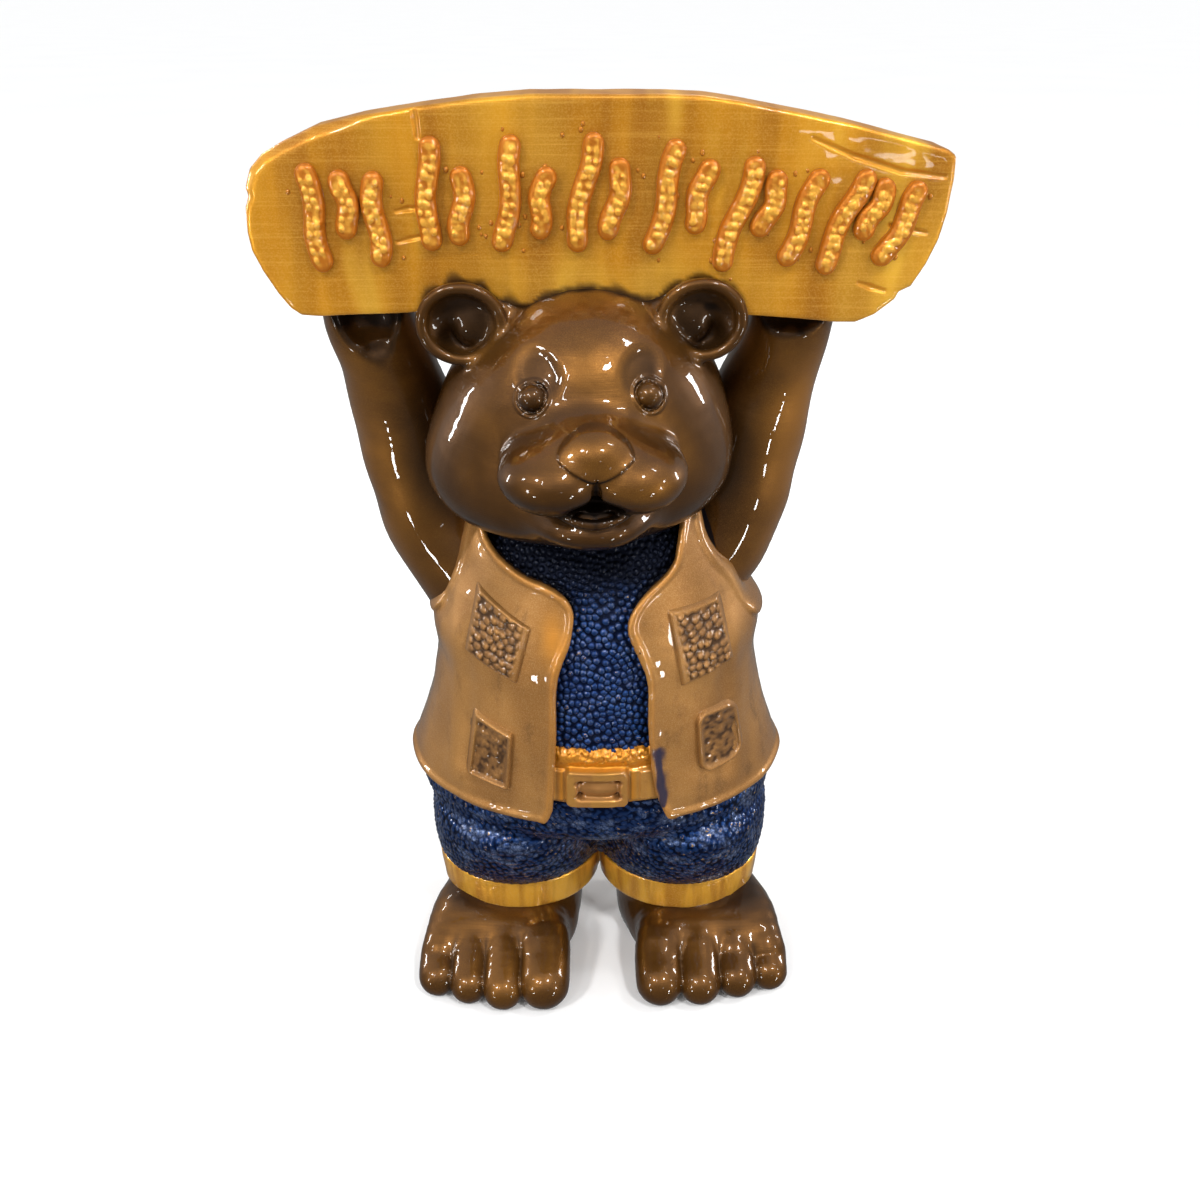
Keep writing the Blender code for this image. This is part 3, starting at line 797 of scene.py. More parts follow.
def paint_bronze(name):
    """Metallic tan, brushed level, with darker runs, a dark seam where it meets the cloth, and
    painted shade under the hem and between the pockets' lumps.
    """
    colours = bpy.context.scene.bear_colours
    bench = Bench(name)
    cloud = bench.patches(0.35, 0.7, 22, 22, 30, detail=3.0)
    streak = bench.noise(14, 14, 0.8)
    runs = bench.mix(streak, colours.bronze_deep, colours.bronze)
    base = bench.mix(cloud * 0.85, colours.bronze, runs)
    base = bench.mix(bench.patches(0.42, 0.66, 38, 38, 46) * 0.4, base, (0.5, 0.25, 0.07))
    wash = bench.patches(0.5, 0.78, 9, 9, 15, detail=4.0, rough=0.65)
    base = bench.mix(wash * 0.6, base, (0.11, 0.048, 0.014))
    base, flake = bench.flakes(base, 0.28, 0.4, (0.6, 0.36, 0.15))
    # Painted shade in the pockets' hollows, then dark seams with painted shade under the hem.
    base = bench.stain(base, rough=(0.15, 0.07, 0.025), glow=(0.62, 0.25, 0.03))
    base = bench.stain(base, smear=(0.006, 0.016, 0.055), seam=(0.02, 0.009, 0.004))
    roughness = 0.42 + 0.14 * streak - flake * 0.1
    return bench.lacquer(base, 0.6, roughness, bench.print_lines(0.4))


def paint_knit(name, haze, flecks):
    """Blue knitted cloth: painted shade between the bumps and under other parts, dark seams, gold
    showing through, pale hazy patches.
    """
    colours = bpy.context.scene.bear_colours
    bench = Bench(name)
    tip = bench.mark("tip")
    # Painted shade between the bumps.
    base = bench.mix(bench.soft(tip, 0.05, 0.75), colours.blue_painted_shade, colours.blue)
    cloud = bench.patches(0.35, 0.68, 13, detail=3.0)
    base = bench.mix(cloud * 0.5, base, (0.003, 0.012, 0.06))
    cloudy = bench.patches(0.46, 0.68, 9, 9, 6, detail=4.0, rough=0.65)
    grain = 0.35 + 0.65 * bench.patches(0.4, 0.62, 0.7, detail=3.0)
    # Pale hazy patches, strongest on the bumps' tops.
    tone_patches = cloudy * grain * (0.5 + 0.5 * bench.soft(tip, 0.1, 0.8)) * haze
    base = bench.mix(tone_patches, base, colours.haze)
    spots = bench.mark("fleck") + 0.25 * bench.patches(0.6, 0.68, 1.1)
    dots = bench.patches(0.5, 0.58, 0.6, detail=1.0)
    worn = dots * bench.soft(spots, 1.0 - flecks, 1.12 - flecks)
    base = bench.mix(worn * 0.85, base, (0.42, 0.25, 0.06))
    # Dark seams, and painted shade under the head and under the vest's hem.
    base = bench.stain(base, seam=(0.002, 0.003, 0.008))
    roughness = 0.34 + 0.2 * bench.noise(0.9)
    grit = bench.bump(bench.noise(0.45), 0.4, 0.15 * MM)
    coat, seam = bench.soft(tip, 0.3, 0.8), bench.mark("seam")
    return bench.lacquer(base, 0.8, roughness, grit, coat, seam, gloss=0.05, bend=1.45)


def paint_gold(name, dull=0.0):
    """Bright gold trim, with soft upright bands of painted reflection."""
    colours = bpy.context.scene.bear_colours
    bench = Bench(name)
    # Upright bands of painted reflection.
    band = bench.patches(0.35, 0.68, 5, 5, 40)
    base = bench.mix(band * 0.7, colours.gold, colours.gold_reflection_dark)
    base, _ = bench.flakes(base, 0.3, 0.5, (0.9, 0.56, 0.16))
    if dull:
        base = bench.mix(dull, base, (0.36, 0.17, 0.05))
    base = bench.stain(
        base, rough=(0.27, 0.12, 0.035), glow=(0.55, 0.2, 0.01), seam=(0.06, 0.02, 0.004)
    )
    return bench.lacquer(base, 0.6, 0.3 + 0.15 * band, bench.print_lines(0.3))


def paint_plank(name):
    """The sign's gold: upright bands and lighter and darker places of painted reflection, fine
    level lines and brown runs where the fur meets it.
    """
    colours = bpy.context.scene.bear_colours
    bench = Bench(name)
    # Upright bands and streaks of painted reflection, then its lighter and darker places by the
    # marks.
    band = bench.patches(0.36, 0.62, 24, 400, 150, detail=3.0)
    shine = bench.patches(0.55, 0.72, 17, 400, 60)
    base = bench.mix(band, colours.plank, colours.plank_reflection_dark)
    base = bench.mix(shine * 0.55, base, colours.plank_reflection_light)
    base = bench.mix(bench.mark("lit") * (0.45 + shine * 0.5), base, colours.plank_reflection_light)
    base = bench.mix(bench.mark("dim") * (0.3 + band * 0.6), base, colours.plank_reflection_dark)
    base = bench.mix(bench.patches(0.45, 0.8, 30, 30, 0.6) * 0.2, base, (0.92, 0.52, 0.09))
    base, _ = bench.flakes(base, 0.15, 0.5, (0.95, 0.58, 0.14))
    base = bench.stain(base, glow=(0.5, 0.2, 0.012), seam=(0.035, 0.014, 0.004))
    bare = bench.mark("bare")
    return bench.lacquer(base, 0.5, 0.3 + 0.18 * band, bench.print_lines(0.35), seam=bare)


def paint_stroke(name):
    """Deep orange sides under rough, lighter gold tops: their own two colours, with painted shade
    in the valleys and painted highlight on the tops.
    """
    colours = bpy.context.scene.bear_colours
    bench = Bench(name)
    # Orange in the valleys as painted shade, and gold on the tops partly as painted highlight.
    tip = bench.soft(bench.mark("tip"), 0.25, 0.75)
    rough = bench.noise(0.8, detail=3.0)
    base = bench.mix(tip * (0.55 + 0.45 * rough), colours.orange, colours.bead)
    base = bench.stain(base, seam=(0.2, 0.06, 0.004))
    grit = bench.bump(rough, 0.5, 0.3 * MM)
    return bench.lacquer(base, 0.5, 0.3 + 0.15 * rough, grit)


# ---- forms of the bear


def into_head(x, y):
    """A place in the head's own frame."""
    right, back = x - HEAD_X, y - HEAD_Y
    cosine, sine = math.cos(HEAD_TURN), math.sin(HEAD_TURN)
    return right * cosine + back * sine, back * cosine - right * sine


def ear_form(x, y, z):
    """A round ear: a rolled rim round a deep cup with a soft mound in it."""
    side = np.abs(x - HEAD_X - EAR_SHIFT) - EAR_X
    along = y - EAR_Y
    up = z - EAR_Z - 0.7 * np.sign(x - HEAD_X)
    ring = np.sqrt(side**2 + (up * 1.1) ** 2) - EAR_RING
    rim = np.sqrt(ring**2 + (along + 2.6) ** 2) - EAR_ROLL
    part = partial(dome, side, along, up)
    ear = carve(part(*EAR_SHELL), part(*EAR_CUP), 1.0)
    ear = carve(ear, part(*EAR_DEEP), 2.0)
    ear = melt(ear, part(*EAR_MOUND), 2.2)
    ear = melt(ear, rim, 1.0)
    return melt(ear, np.maximum(part(*EAR_ROOT), -part(*EAR_CUP)), 1.5)


def eye_gap(side, along, z):
    """How far a place is from the nearer eyeball."""
    ways = (place - middle for place, middle in zip((side, along, z), EYE))
    return np.sqrt(sum(way**2 for way in ways)) - EYE_RADIUS


def head_form(x, y, z):
    """The head with its muzzle, mouth, nose, eyes and ears."""
    across, along = into_head(x, y)
    head = stacked(across - SKULL_LEAN * (z - 222), along, z, SKULL)
    across = across - FACE_X
    side = np.abs(across)
    front = along < FACE_FRONT
    dish = np.hypot(side - SOCKET[0], z - SOCKET[1])
    head = head + front * SOCKET_DEPTH * (1 - ramp(dish, SOCKET_RADIUS - 4.8, SOCKET_RADIUS))
    bridge = ramp(z, 233, 242) * ramp(side, 22, 10)
    head = melt(head, dome(across, along, z, *MUZZLE), 1.6 + 4 * ramp(z, 233, 241) + 7 * bridge)
    head = melt(head, dome(across, along, z, *BRIDGE), 6)
    head = melt(head, dome(across, along, z, *CHIN), 9)
    head = melt(head, limb(side, along, z, LIP, steps=4), 1.8)
    head = melt(head, dome(side, along, z, *JOWL), 1.4 + 2.5 * ramp(z, 226, 236))
    mouth = melt(dome(across, along, z, *MOUTH), limb(across, along, z, MOUTH_PEAK), 1.5)
    head = carve(head, mouth, 0.8)
    shield = outline_gap(across, z, NOSE_LINE)
    lift = 0.75 + 0.45 * ramp(z, 233, 243)
    head = head - front * lift * (1 - ramp(shield, -0.8, 0.4))
    head = carve(head, limb(across, along, z, PHILTRUM), 0.9)
    ball = eye_gap(side, along, z)
    head = head - front * 0.42 * (1 - ramp(np.abs(ball - 1.2), 0.2, 1.2))
    head = head + front * 0.45 * (1 - ramp(np.abs(ball - 0.1), 0.2, 1.1))
    head = melt(head, ball, 0.5)
    return melt(head, ear_form(x, y, z), 3.0)


def arm_form(x, y, z, side):
    """One raised arm with its hollow palm and the fingers behind the sign."""
    out = side * (x - HEAD_X)
    slim = ARM_SLIM[side > 0]
    knots = []
    for far, back, rise, thick in ARM:
        share = ramp(rise, 222, 244) * ramp(rise, 272, 258)
        knots.append((far + slim * share, back, rise, thick - slim * share))
    arm = limb(out, y, z, knots, steps=6, soft=0.03)
    arm = melt(arm, dome(out, y, z, *PALM), 4)
    for across, reach in zip(FINGER_SPREAD, FINGER_REACH):
        root = PALM[0][0] + across
        back = SIGN_BACK + 0.35 * FINGER_RADIUS
        finger = ((root, 3, 272, FINGER_RADIUS), (root, back, reach, FINGER_RADIUS))
        arm = melt(arm, limb(out, y, z, finger), 1.6)
    return carve(arm, limb(out, y, z, PALM_HOLLOWS[side > 0]), 3.0)


def hole_gap(x, z):
    """How far a place is from the nearer armhole, under zero inside it."""
    return np.minimum(*(outline_gap(x, z, line) for line in HOLE_LINES))


def vest_form(x, y, z):
    """The open, sleeveless vest with its rolled edges."""
    body = stacked(x, y, z, VEST)
    lip = size("lip")
    opening = outline_gap(x, z, OPENING_LINE)
    hole = hole_gap(x, z)
    behind = y + VEST_FRONT
    front = np.maximum(np.maximum(opening, behind), -(body + VEST_THICK + 2.5))
    edge = np.maximum(np.sqrt(opening**2 + (body + 0.5) ** 2) - lip, behind)
    knob = 1.3 * ramp(np.abs(x), 54, 60)
    rim = np.sqrt((hole + 0.3) ** 2 + (body + 0.6) ** 2) - lip - knob
    hem = np.sqrt((z - VEST[0][0] - lip) ** 2 + (body + 0.4) ** 2) - lip
    hem = np.maximum(hem, np.where(y < 0, -opening, hem))
    vest = carve(carve(body, front, 1.2), hole, 2.0)
    edges = np.minimum(np.minimum(edge, rim), hem)
    return melt(vest, edges, 1.4)


def shirt_form(x, y, z):
    """The shirt and the neck under the vest."""
    return melt(stacked(x, y, z, VEST, VEST_THICK), dome(x, y, z, *NECK), 4)


def shorts_form(x, y, z):
    """The shorts, down into their cuffs."""
    shorts = stacked(x, y, z, SHORTS)
    for middle in LEG_X:
        shorts = melt(shorts, stacked(x - middle, y, z, LEG), 7)
    return shorts


def cuff_form(x, y, z):
    """Two broad cuffs that meet in the middle."""
    level = np.abs(z - CUFF_MIDDLE) - CUFF_HALF
    cuffs = [overlap(stacked(x - middle, y, z, CUFF), level, 1.2) for middle in LEG_X]
    return melt(cuffs[0], cuffs[1], 0.8)


def toe_gaps(x, y, z, side):
    """How far a place is from each of a paw's toes."""
    middle = INSTEPS[side][0][0]
    gaps = []
    for out, reach, radius in TOES[side]:
        rise = 0.95 * radius
        knots = (
            (middle + 0.55 * (out - middle), -6, 17.5, 9.5),
            (middle + 0.80 * (out - middle), -22, 17, 9.5),
            (middle + 0.95 * (out - middle), -36, rise + 6.0, radius + 0.6),
            (out, reach + 1.9 * radius, rise + 2.6, radius + 0.2),
            (out, reach + radius, rise, radius),
        )
        gaps.append(limb(x, y, z, knots, steps=3))
    return gaps


def foot_form(x, y, z, side):
    """One broad paw of four toes."""
    paw, *others = toe_gaps(x, y, z, side)
    for toe in others:
        paw = melt(paw, toe, 0.9 + 8 * ramp(y, -48, -34))
    paw = melt(paw, dome(x, y, z, *INSTEPS[side]), 3 + 4 * ramp(y, -48, -34))
    paw = melt(paw, dome(x, y, z, *HEELS[side]), 4)
    leg = stacked(x - LEG_X[side], y, z, ANKLE)
    return overlap(melt(paw, leg, 4), -z, 1.2)


def cut_gap(x, y, z, cut, face):
    """How far a place is from a cut along one of the sign's faces, at the face's y."""
    return limb(x, y, z, [(place, face, height, radius) for place, height, radius in cut])


def sign_form(x, y, z):
    """The plank sign, with its cuts on both faces."""
    edge = outline_gap(x, z, SIGN)
    middle = (SIGN_FRONT + SIGN_BACK) / 2
    depth = np.abs(y - middle) - (SIGN_BACK - SIGN_FRONT) / 2
    upper_left = ramp(-x, 62, 80) * ramp(z, 296, 312)
    chamfer = (edge + depth) * math.sqrt(0.5) + 0.5 + 1.6 * upper_left
    sign = overlap(np.maximum(edge, depth), chamfer, 0.8)
    for cut, face in SIGN_CUTS:
        sign = carve(sign, cut_gap(x, y, z, cut, face), 0.5)
    return sign


NOSE_LINE = between(NOSE, 3, closed=True)
OPENING_LINE = between(VEST_OPENING, 4, closed=True)
HOLE_LINES = [between(line, 4, closed=True) for line in ARMHOLES]
SIGN_CUTS = [(cut, SIGN_FRONT) for cut in PLANK_CUTS] + [(cut, SIGN_BACK) for cut in BACK_CUTS]


# ---- pieces


class BEAR_OT_head(bpy.types.Operator):
    """Carve the head with its face and ears"""

    bl_idname = "bear.head"
    bl_label = "Head"

    def execute(self, context):
        cell = size("quad") * HEAD_QUAD
        mesh = skin(head_form, *HEAD_ROOM, cell)

        def face(x, y, z):
            across, along = into_head(x, y)
            ears = dome(np.abs(x - HEAD_X - EAR_SHIFT), y, z, *EAR_ROOM) < 0
            return ((along < -36) & (np.abs(across) < 33) & (z > 207) & (z < 267)) | ears

        def eyes(x, y, z):
            across, along = into_head(x, y)
            near = np.hypot(np.abs(across) - EYE[0], z - EYE[2]) < 8
            nose = (np.abs(across) < 16) & (z > 213) & (z < 247)
            return (along < -40) & (near | nose)

        refine(mesh, head_form, face, cell / 2)
        refine(mesh, head_form, eyes, cell / 4)
        points = points_of(mesh)
        x, y, z = points.T
        across, along = into_head(x, y)
        right = across - FACE_X
        side = np.abs(right)
        seam = 1 - ramp(np.abs(y - SIGN_FRONT) + 0.7 * ripple(points, 5, 3), 0.2, 2.2)
        ear_side = np.abs(x - HEAD_X - EAR_SHIFT) - EAR_X
        cup = 1 - ramp(np.hypot(ear_side, z - EAR_Z), 8.5, 11.5)
        cup *= ramp(y - EAR_Y, -4.4, -1.8) * (y < EAR_Y + 6)
        dish = np.hypot(side - SOCKET[0], z - SOCKET[1])
        socket = (along < FACE_FRONT) * (1 - ramp(dish, SOCKET_RADIUS - 3.5, SOCKET_RADIUS - 1.0))
        mouth = 1 - ramp(dome(right, along, z, *MOUTH), 0.6, 1.6)
        crease = (1 - ramp(dome(side, along, z, *JOWL), 0.4, 2.6)) * ramp(z, 223, 220)
        ball = eye_gap(side, along, z)
        coat_waves(mesh, 11)
        shade = ramp(-normals_of(mesh)[:, 2], 0.1, 0.8) * ramp(z, 262, 250)
        # Dark where the head meets the sign. Painted shade in the ear cups, on faces that look
        # down,
        # and dark lines round the nose and down the middle of the muzzle.
        # in the mouth, in the creases under the pads, in the grooves round the eyes and in the
        # sockets;
        dark = 0.85 * seam * ramp(z, 270, 273) + 0.7 * cup + 0.75 * shade
        dark += 0.95 * mouth * (along < -50) + 0.6 * crease * (along < -45)
        dark += 0.55 * hump(ball - 0.5, 0.4) + 0.45 * socket * ramp(ball, 0.1, 0.7)
        dark += 0.35 * hump(outline_gap(right, z, NOSE_LINE), 0.5) * (along < -50)
        dark += 0.55 * hump(right, 0.9) * (along < -52) * (z < 232) * (z > 215)
        # Painted highlights on a few patches of the face, and painted shade on the rest of its
        # front.
        lit = np.clip(light_and_shade_patches(right, z, *FACE_PAINTED_LIGHT) + 0.25 * ripple(points, 20, 13), 0, 1)
        marks = {"seam": dark, "deep": 0.8 * (1 - lit) * (y < -10)}
        finish_piece(mesh, "bear_head", paint_brown("brown_head"), marks)
        return {"FINISHED"}


class BEAR_OT_arms(bpy.types.Operator):
    """Raise the two arms against the sign"""

    bl_idname = "bear.arms"
    bl_label = "Arms"

    def execute(self, context):
        paint = paint_brown("brown_arms")
        for side, name in ((-1, "bear_arm_right"), (1, "bear_arm_left")):
            ends = sorted((HEAD_X + side * 2, HEAD_X + side * 96))
            room = (ends[0], -28, 120), (ends[1], 28, 302)
            mesh = skin(partial(arm_form, side=side), *room, size("quad") * ARM_QUAD)
            points = points_of(mesh)
            x, y, z = points.T
            out = side * (x - HEAD_X)
            press(mesh, 0.4 * ripple(points, 26, 25 + side))
            coat_waves(mesh, 21 + side, 0.3)
            # Painted shadow on the arm's top under the sign, and painted shade near the head and in
            # the palm hollows.
            under = 1 - ramp(269 - z + 2.2 * ripple(points, 7, 5), -1, 9)
            near = meeting(points, placed("bear_head"), np.full(len(points), 15.0))
            hollow = np.abs(limb(out, y, z, PALM_HOLLOWS[side > 0]))
            dark = 0.85 * under * (y < SIGN_BACK) + 0.7 * near + 0.75 * (1 - ramp(hollow, 0.6, 3.0))
            # Painted shade on each arm's inner side and painted light on its outer side: more shade
            # on the arm
            # to the viewer's left, more light on the one to the viewer's right.
            marks = {
                "seam": dark,
                "deep": (0.4, 0.15)[side > 0] * (1 - ramp(out, 54, 72)) * (y < 0),
                "lit": (0.25, 0.6)[side > 0] * ramp(out, 60, 80) * ramp(z, 262, 240),
            }
            finish_piece(mesh, name, paint, marks)
        return {"FINISHED"}


class BEAR_OT_feet(bpy.types.Operator):
    """Carve the two paws"""

    bl_idname = "bear.feet"
    bl_label = "Feet"

    def execute(self, context):
        paint = paint_brown("brown_feet")
        for side, name in ((0, "bear_foot_right"), (1, "bear_foot_left")):
            middle = INSTEPS[side][0][0]
            room = (middle - 40, -68, -2), (middle + 40, 36, 38)
            mesh = skin(partial(foot_form, side=side), *room, size("quad") * FOOT_QUAD)
            coat_waves(mesh, 31 + side)
            points = points_of(mesh)
            x, y, z = points.T
            gaps = np.sort(toe_gaps(x, y, z, side), 0)
            groove = (1 - ramp(gaps[1] - gaps[0], 0.3, 2.2)) * (1 - ramp(gaps[0], 1.0, 3.0))
            groove *= ramp(-y, 34, 44)
            shade = ramp(-normals_of(mesh)[:, 2], 0.2, 0.9)
            # Painted shade just under the cuffs, in the grooves between the toes and on faces that
            # look down.
            dark = 0.8 * ramp(z, 24.5, 27.5) + 0.75 * groove + 0.4 * shade
            put_points(mesh, np.stack((x, y, np.maximum(z, 0.0)), -1))
            # Painted shade over each paw away from its grooves, more on the paw to the viewer's
            # right.
            marks = {"seam": dark, "deep": (0.35, 0.6)[side] * (1 - groove)}
            finish_piece(mesh, name, paint, marks)
        return {"FINISHED"}


def knit(mesh, chosen, gap, height, seed):
    """Raise knitted bumps on the chosen points. Returns each point's height and its bump's luck."""
    points = points_of(mesh)
    where = np.flatnonzero(chosen)
    seeds = scatter(points[where], gap, seed)
    first, second, which = nearest_two(points[where], seeds)
    chance = np.random.default_rng(seed + 1)
    tall = chance.uniform(0.75, 1.1, len(seeds))[which]
    crown = np.sqrt(np.clip(1 - (first / (0.62 * gap)) ** 2, 0, 1))
    tip = np.zeros(len(points))
    tip[where] = crown * ramp(second - first, 0.0, 0.35 * gap)
    heights = np.zeros(len(points))
    heights[where] = height * (tall * tip[where] - 0.35)
    fleck = np.zeros(len(points))
    fleck[where] = chance.uniform(0, 1, len(seeds))[which] * ramp(crown, 0.3, 0.8)
    press(mesh, heights)
    return tip, fleck


class BEAR_OT_shirt(bpy.types.Operator):
    """Knit the shirt that shows in the vest's opening"""

    bl_idname = "bear.shirt"
    bl_label = "Shirt"

    def execute(self, context):
        mesh = skin(shirt_form, *SHIRT_ROOM, SHIRT_CELL)

        def shown(x, y, z, grow=1):
            near = outline_gap(x, z, OPENING_LINE) < EDGE_REACH
            return near & (y < -17 - grow) & (z > 113 - grow) & (z < 204)

        for share in (2, 4, 8):
            refine(mesh, shirt_form, shown, SHIRT_CELL / share)
        points = points_of(mesh)
        x, y, z = points.T
        edge = ramp(outline_gap(x, z, OPENING_LINE), -2.6, 0.4)
        skull = stacked(*into_head(x, y), z, SKULL)
        under = 1 - ramp(skull + 1.5 * ripple(points, 6, 4), 5, 24)
        tip, fleck = knit(mesh, shown(x, y, z, 0), size("knit_gap"), size("knit_height"), 5)
        # A dark seam along the vest's edge, and painted shadow under the head.
        marks = {"tip": tip, "fleck": fleck, "seam": 0.85 * edge + 0.97 * under}
        finish_piece(mesh, "knit_shirt", paint_knit("knit_shirt", 0.12, 0.08), marks)
        return {"FINISHED"}


class BEAR_OT_shorts(bpy.types.Operator):
    """Knit the shorts"""

    bl_idname = "bear.shorts"
    bl_label = "Shorts"

    def execute(self, context):
        mesh = skin(shorts_form, *SHORTS_ROOM, CLOTH_CELL)

        def shown(x, y, z):
            covered = (y > 0) | (np.abs(outline_gap(x, z, OPENING_LINE)) > 6)
            return (z > 39.5) & ~((z > 93.5) & covered)

        refine(mesh, shorts_form, shown, CLOTH_CELL / 2)
        points = points_of(mesh)
        x, y, z = points.T
        gap, height = size("knit_gap") * 0.95, size("shorts_height")
        tip, fleck = knit(mesh, (z > 41) & (z < 98), gap, height, 8)
        low = 1 - ramp(z + 0.6 * ripple(points, 4, 6), 40.5, 43.5)
        open_front = (y < 0) & (outline_gap(x, z, OPENING_LINE) < -1)
        below = np.where(open_front, 9.0, np.maximum(VEST[0][0] - z, 0.0))
        # Dark where the shorts go into the cuffs, and painted shadow under the vest's hem.
        seam = 0.8 * low + 0.8 * ramp(below, 3.4, 0.4)
        marks = {"tip": tip, "fleck": fleck, "seam": seam}
        finish_piece(mesh, "knit_shorts", paint_knit("knit_shorts", 0.85, 0.2), marks)
        return {"FINISHED"}


class BEAR_OT_cuffs(bpy.types.Operator):
    """Roll the shorts' gold cuffs"""

    bl_idname = "bear.cuffs"
    bl_label = "Cuffs"

    def execute(self, context):
        mesh = skin(cuff_form, *CUFF_ROOM, size("quad") * CUFF_QUAD)
        points = points_of(mesh)
        x, y, z = points.T
        past = x - 54 + 0.25 * (z - 33)
        lap = 0.2 * hump(past, 1.1) + 0.35 * ramp(past, -1.5, 0.5) * (1 - ramp(x, 60, 72))
        press(mesh, 0.10 * ripple(points, 9, 41) + (y < 0) * lap)
        seam = 1 - ramp(np.abs(x - 1.2), 0.2, 1.6)
        top = z - CUFF_MIDDLE - CUFF_HALF
        marks = {"seam": 0.35 * seam + 0.2 * ramp(top, -0.9, 0.1), "glow": 0.5 * seam}
        finish_piece(mesh, "gold_cuffs", paint_gold("gold_cuffs"), marks)
        return {"FINISHED"}


def quilted(name, corners, cells, relief, inset=0.0):
    """A closed patch over the vest's front. relief(u, v, x, z) gives its height and its marks."""
    wide, high = cells
    across = wide + 1
    layer = across * (high + 1)
    u, v = np.meshgrid(np.linspace(0, 1, across), np.linspace(0, 1, high + 1))
    u, v = u.ravel(), v.ravel()
    shares = (1 - u) * (1 - v), u * (1 - v), u * v, (1 - u) * v
    x, z = (sum(share * end for share, end in zip(shares, ends)) for ends in zip(*corners))
    wall = vest_front(x, z, inset)
    proud, marks = relief(u, v, x, z)
    front = np.stack((x, wall - proud, z), -1)
    back = np.stack((x, wall + PATCH_SINK, z), -1)
    quads = []
    for row, column in product(range(high), range(wide)):
        here = row * across + column
        quad = (here, here + 1, here + across + 1, here + across)
        quads += [quad, tuple(index + layer for index in quad[::-1])]
    rim = list(range(wide))
    rim += [row * across + wide for row in range(high)]
    rim += [high * across + column for column in range(wide, 0, -1)]
    rim += [row * across for row in range(high, 0, -1)]
    for here, beside in zip(rim, rim[1:] + rim[:1]):
        quads.append((beside, here, here + layer, beside + layer))
    mesh = bpy.data.meshes.new(name)
    mesh.from_pydata(np.concatenate((front, back)), [], quads)
    mesh.update()
    return mesh, {key: np.tile(values, 2) for key, values in marks.items()}


def vest_front(x, z, inset=0.0):
    """The y of the vest's outer face in front."""
    fine = between(VEST, 8)
    wide = np.interp(z, fine[:, 0], fine[:, 1] - inset)
    deep = np.interp(z, fine[:, 0], fine[:, 2] - inset)
    return -deep * np.sqrt(np.clip(1 - (x / wide) ** 2, 0.0, 1.0))


def rim_distance(u, v, wide, high):
    """How far a place in a patch is from its nearest edge."""
    return np.minimum(np.minimum(u, 1 - u) * wide, np.minimum(v, 1 - v) * high)


def flat_places(x, z):
    """Places in X and Z as points, for what is the same at any depth."""
    return np.stack((x, 0 * x, z), -1)


def box_gap(x, z, middle_x, middle_z, half_x, half_z, corner):
    """Distance to a rectangle with round corners, under zero inside it."""
    wide = np.abs(x - middle_x) - half_x + corner
    high = np.abs(z - middle_z) - half_z + corner
    outside = np.hypot(np.maximum(wide, 0), np.maximum(high, 0))
    return outside + np.minimum(np.maximum(wide, high), 0) - corner


class BEAR_OT_belt(bpy.types.Operator):
    """Fit the belt with its buckle and loops, and the waistband over it"""

    bl_idname = "bear.belt"
    bl_label = "Belt"

    def execute(self, context):
        mesh, marks = quilted("gold_belt", BELT, (136, 68), self.relief, VEST_THICK - 0.3)
        finish_piece(mesh, "gold_belt", paint_gold("gold_belt", 0.7), marks)
        return {"FINISHED"}

    def relief(self, u, v, x, z):
        """The strap, its loops, the buckle with the strap's end, and the waistband's fringe."""
        chance = np.random.default_rng(12)
        spots = flat_places(chance.uniform(-22, 32, 260), chance.uniform(115, 124, 260))
        buckle_gap = -box_gap(x, z, *BUCKLE)
        hole_gap = -box_gap(x, z, *BUCKLE_HOLE)
        strap = 0
        for rise, *box in STRAP:
            strap = strap + rise * ramp(-box_gap(x, z, *box), -0.3, 0.9)
        buckle = 3.6 * ramp(buckle_gap, -0.2, 1.5) - 2.3 * ramp(hole_gap, -0.3, 1.2)
        strap_end = 1.5 * hump(x - 2.0, 5.5, z - 105.9, 2.1)
        pits = 1.6 * sum(hump(x - right, 1.3, z - up, 1.0) for right, up in BUCKLE_PITS)
        first, _, _ = nearest_two(flat_places(x, z), spots)
        fringe = 1.1 * np.sqrt(np.clip(1 - (first / 1.25) ** 2, 0, 1)) * ramp(z, 114.5, 118.5)
        ragged = z + 0.4 * np.sin(2.1 * x) + 0.35 * np.sin(4.7 * x)
        band = 0.9 * ramp(z, 112.5, 115) - 1.6 * ramp(ragged, 119.8, 121.8)
        covered = ramp(buckle_gap, -0.2, 0.4)
        in_hole = ramp(hole_gap, -0.2, 0.8)
        total = strap * (1 - covered) + buckle + strap_end * in_hole - pits
        wave = 0.12 * ripple(flat_places(x, z), 5, 9)
        edge = ramp(z, 97.2, 99.4) * (1 - ramp(z, 121.0, 123.0))
        # Darker in the buckle's pits and opening, and a little on the buckle itself.
        tone_patches = 0.85 * pits + 0.55 * ramp(hole_gap, -0.2, 0.6) + 0.3 * covered
        gaps = ramp(buckle_gap, -2.6, -0.6) * (1 - ramp(buckle_gap, -0.4, 0.2))
        glow = (0.8 * ramp(z, 112.6, 114.6) + 0.7 * gaps) * (buckle < 2)
        marks = {"rough": tone_patches, "glow": glow, "seam": 0.75 * ramp(pits, 0.5, 1.4)}
        return (total + band + fringe + wave) * edge - 1.6 * (1 - edge), marks


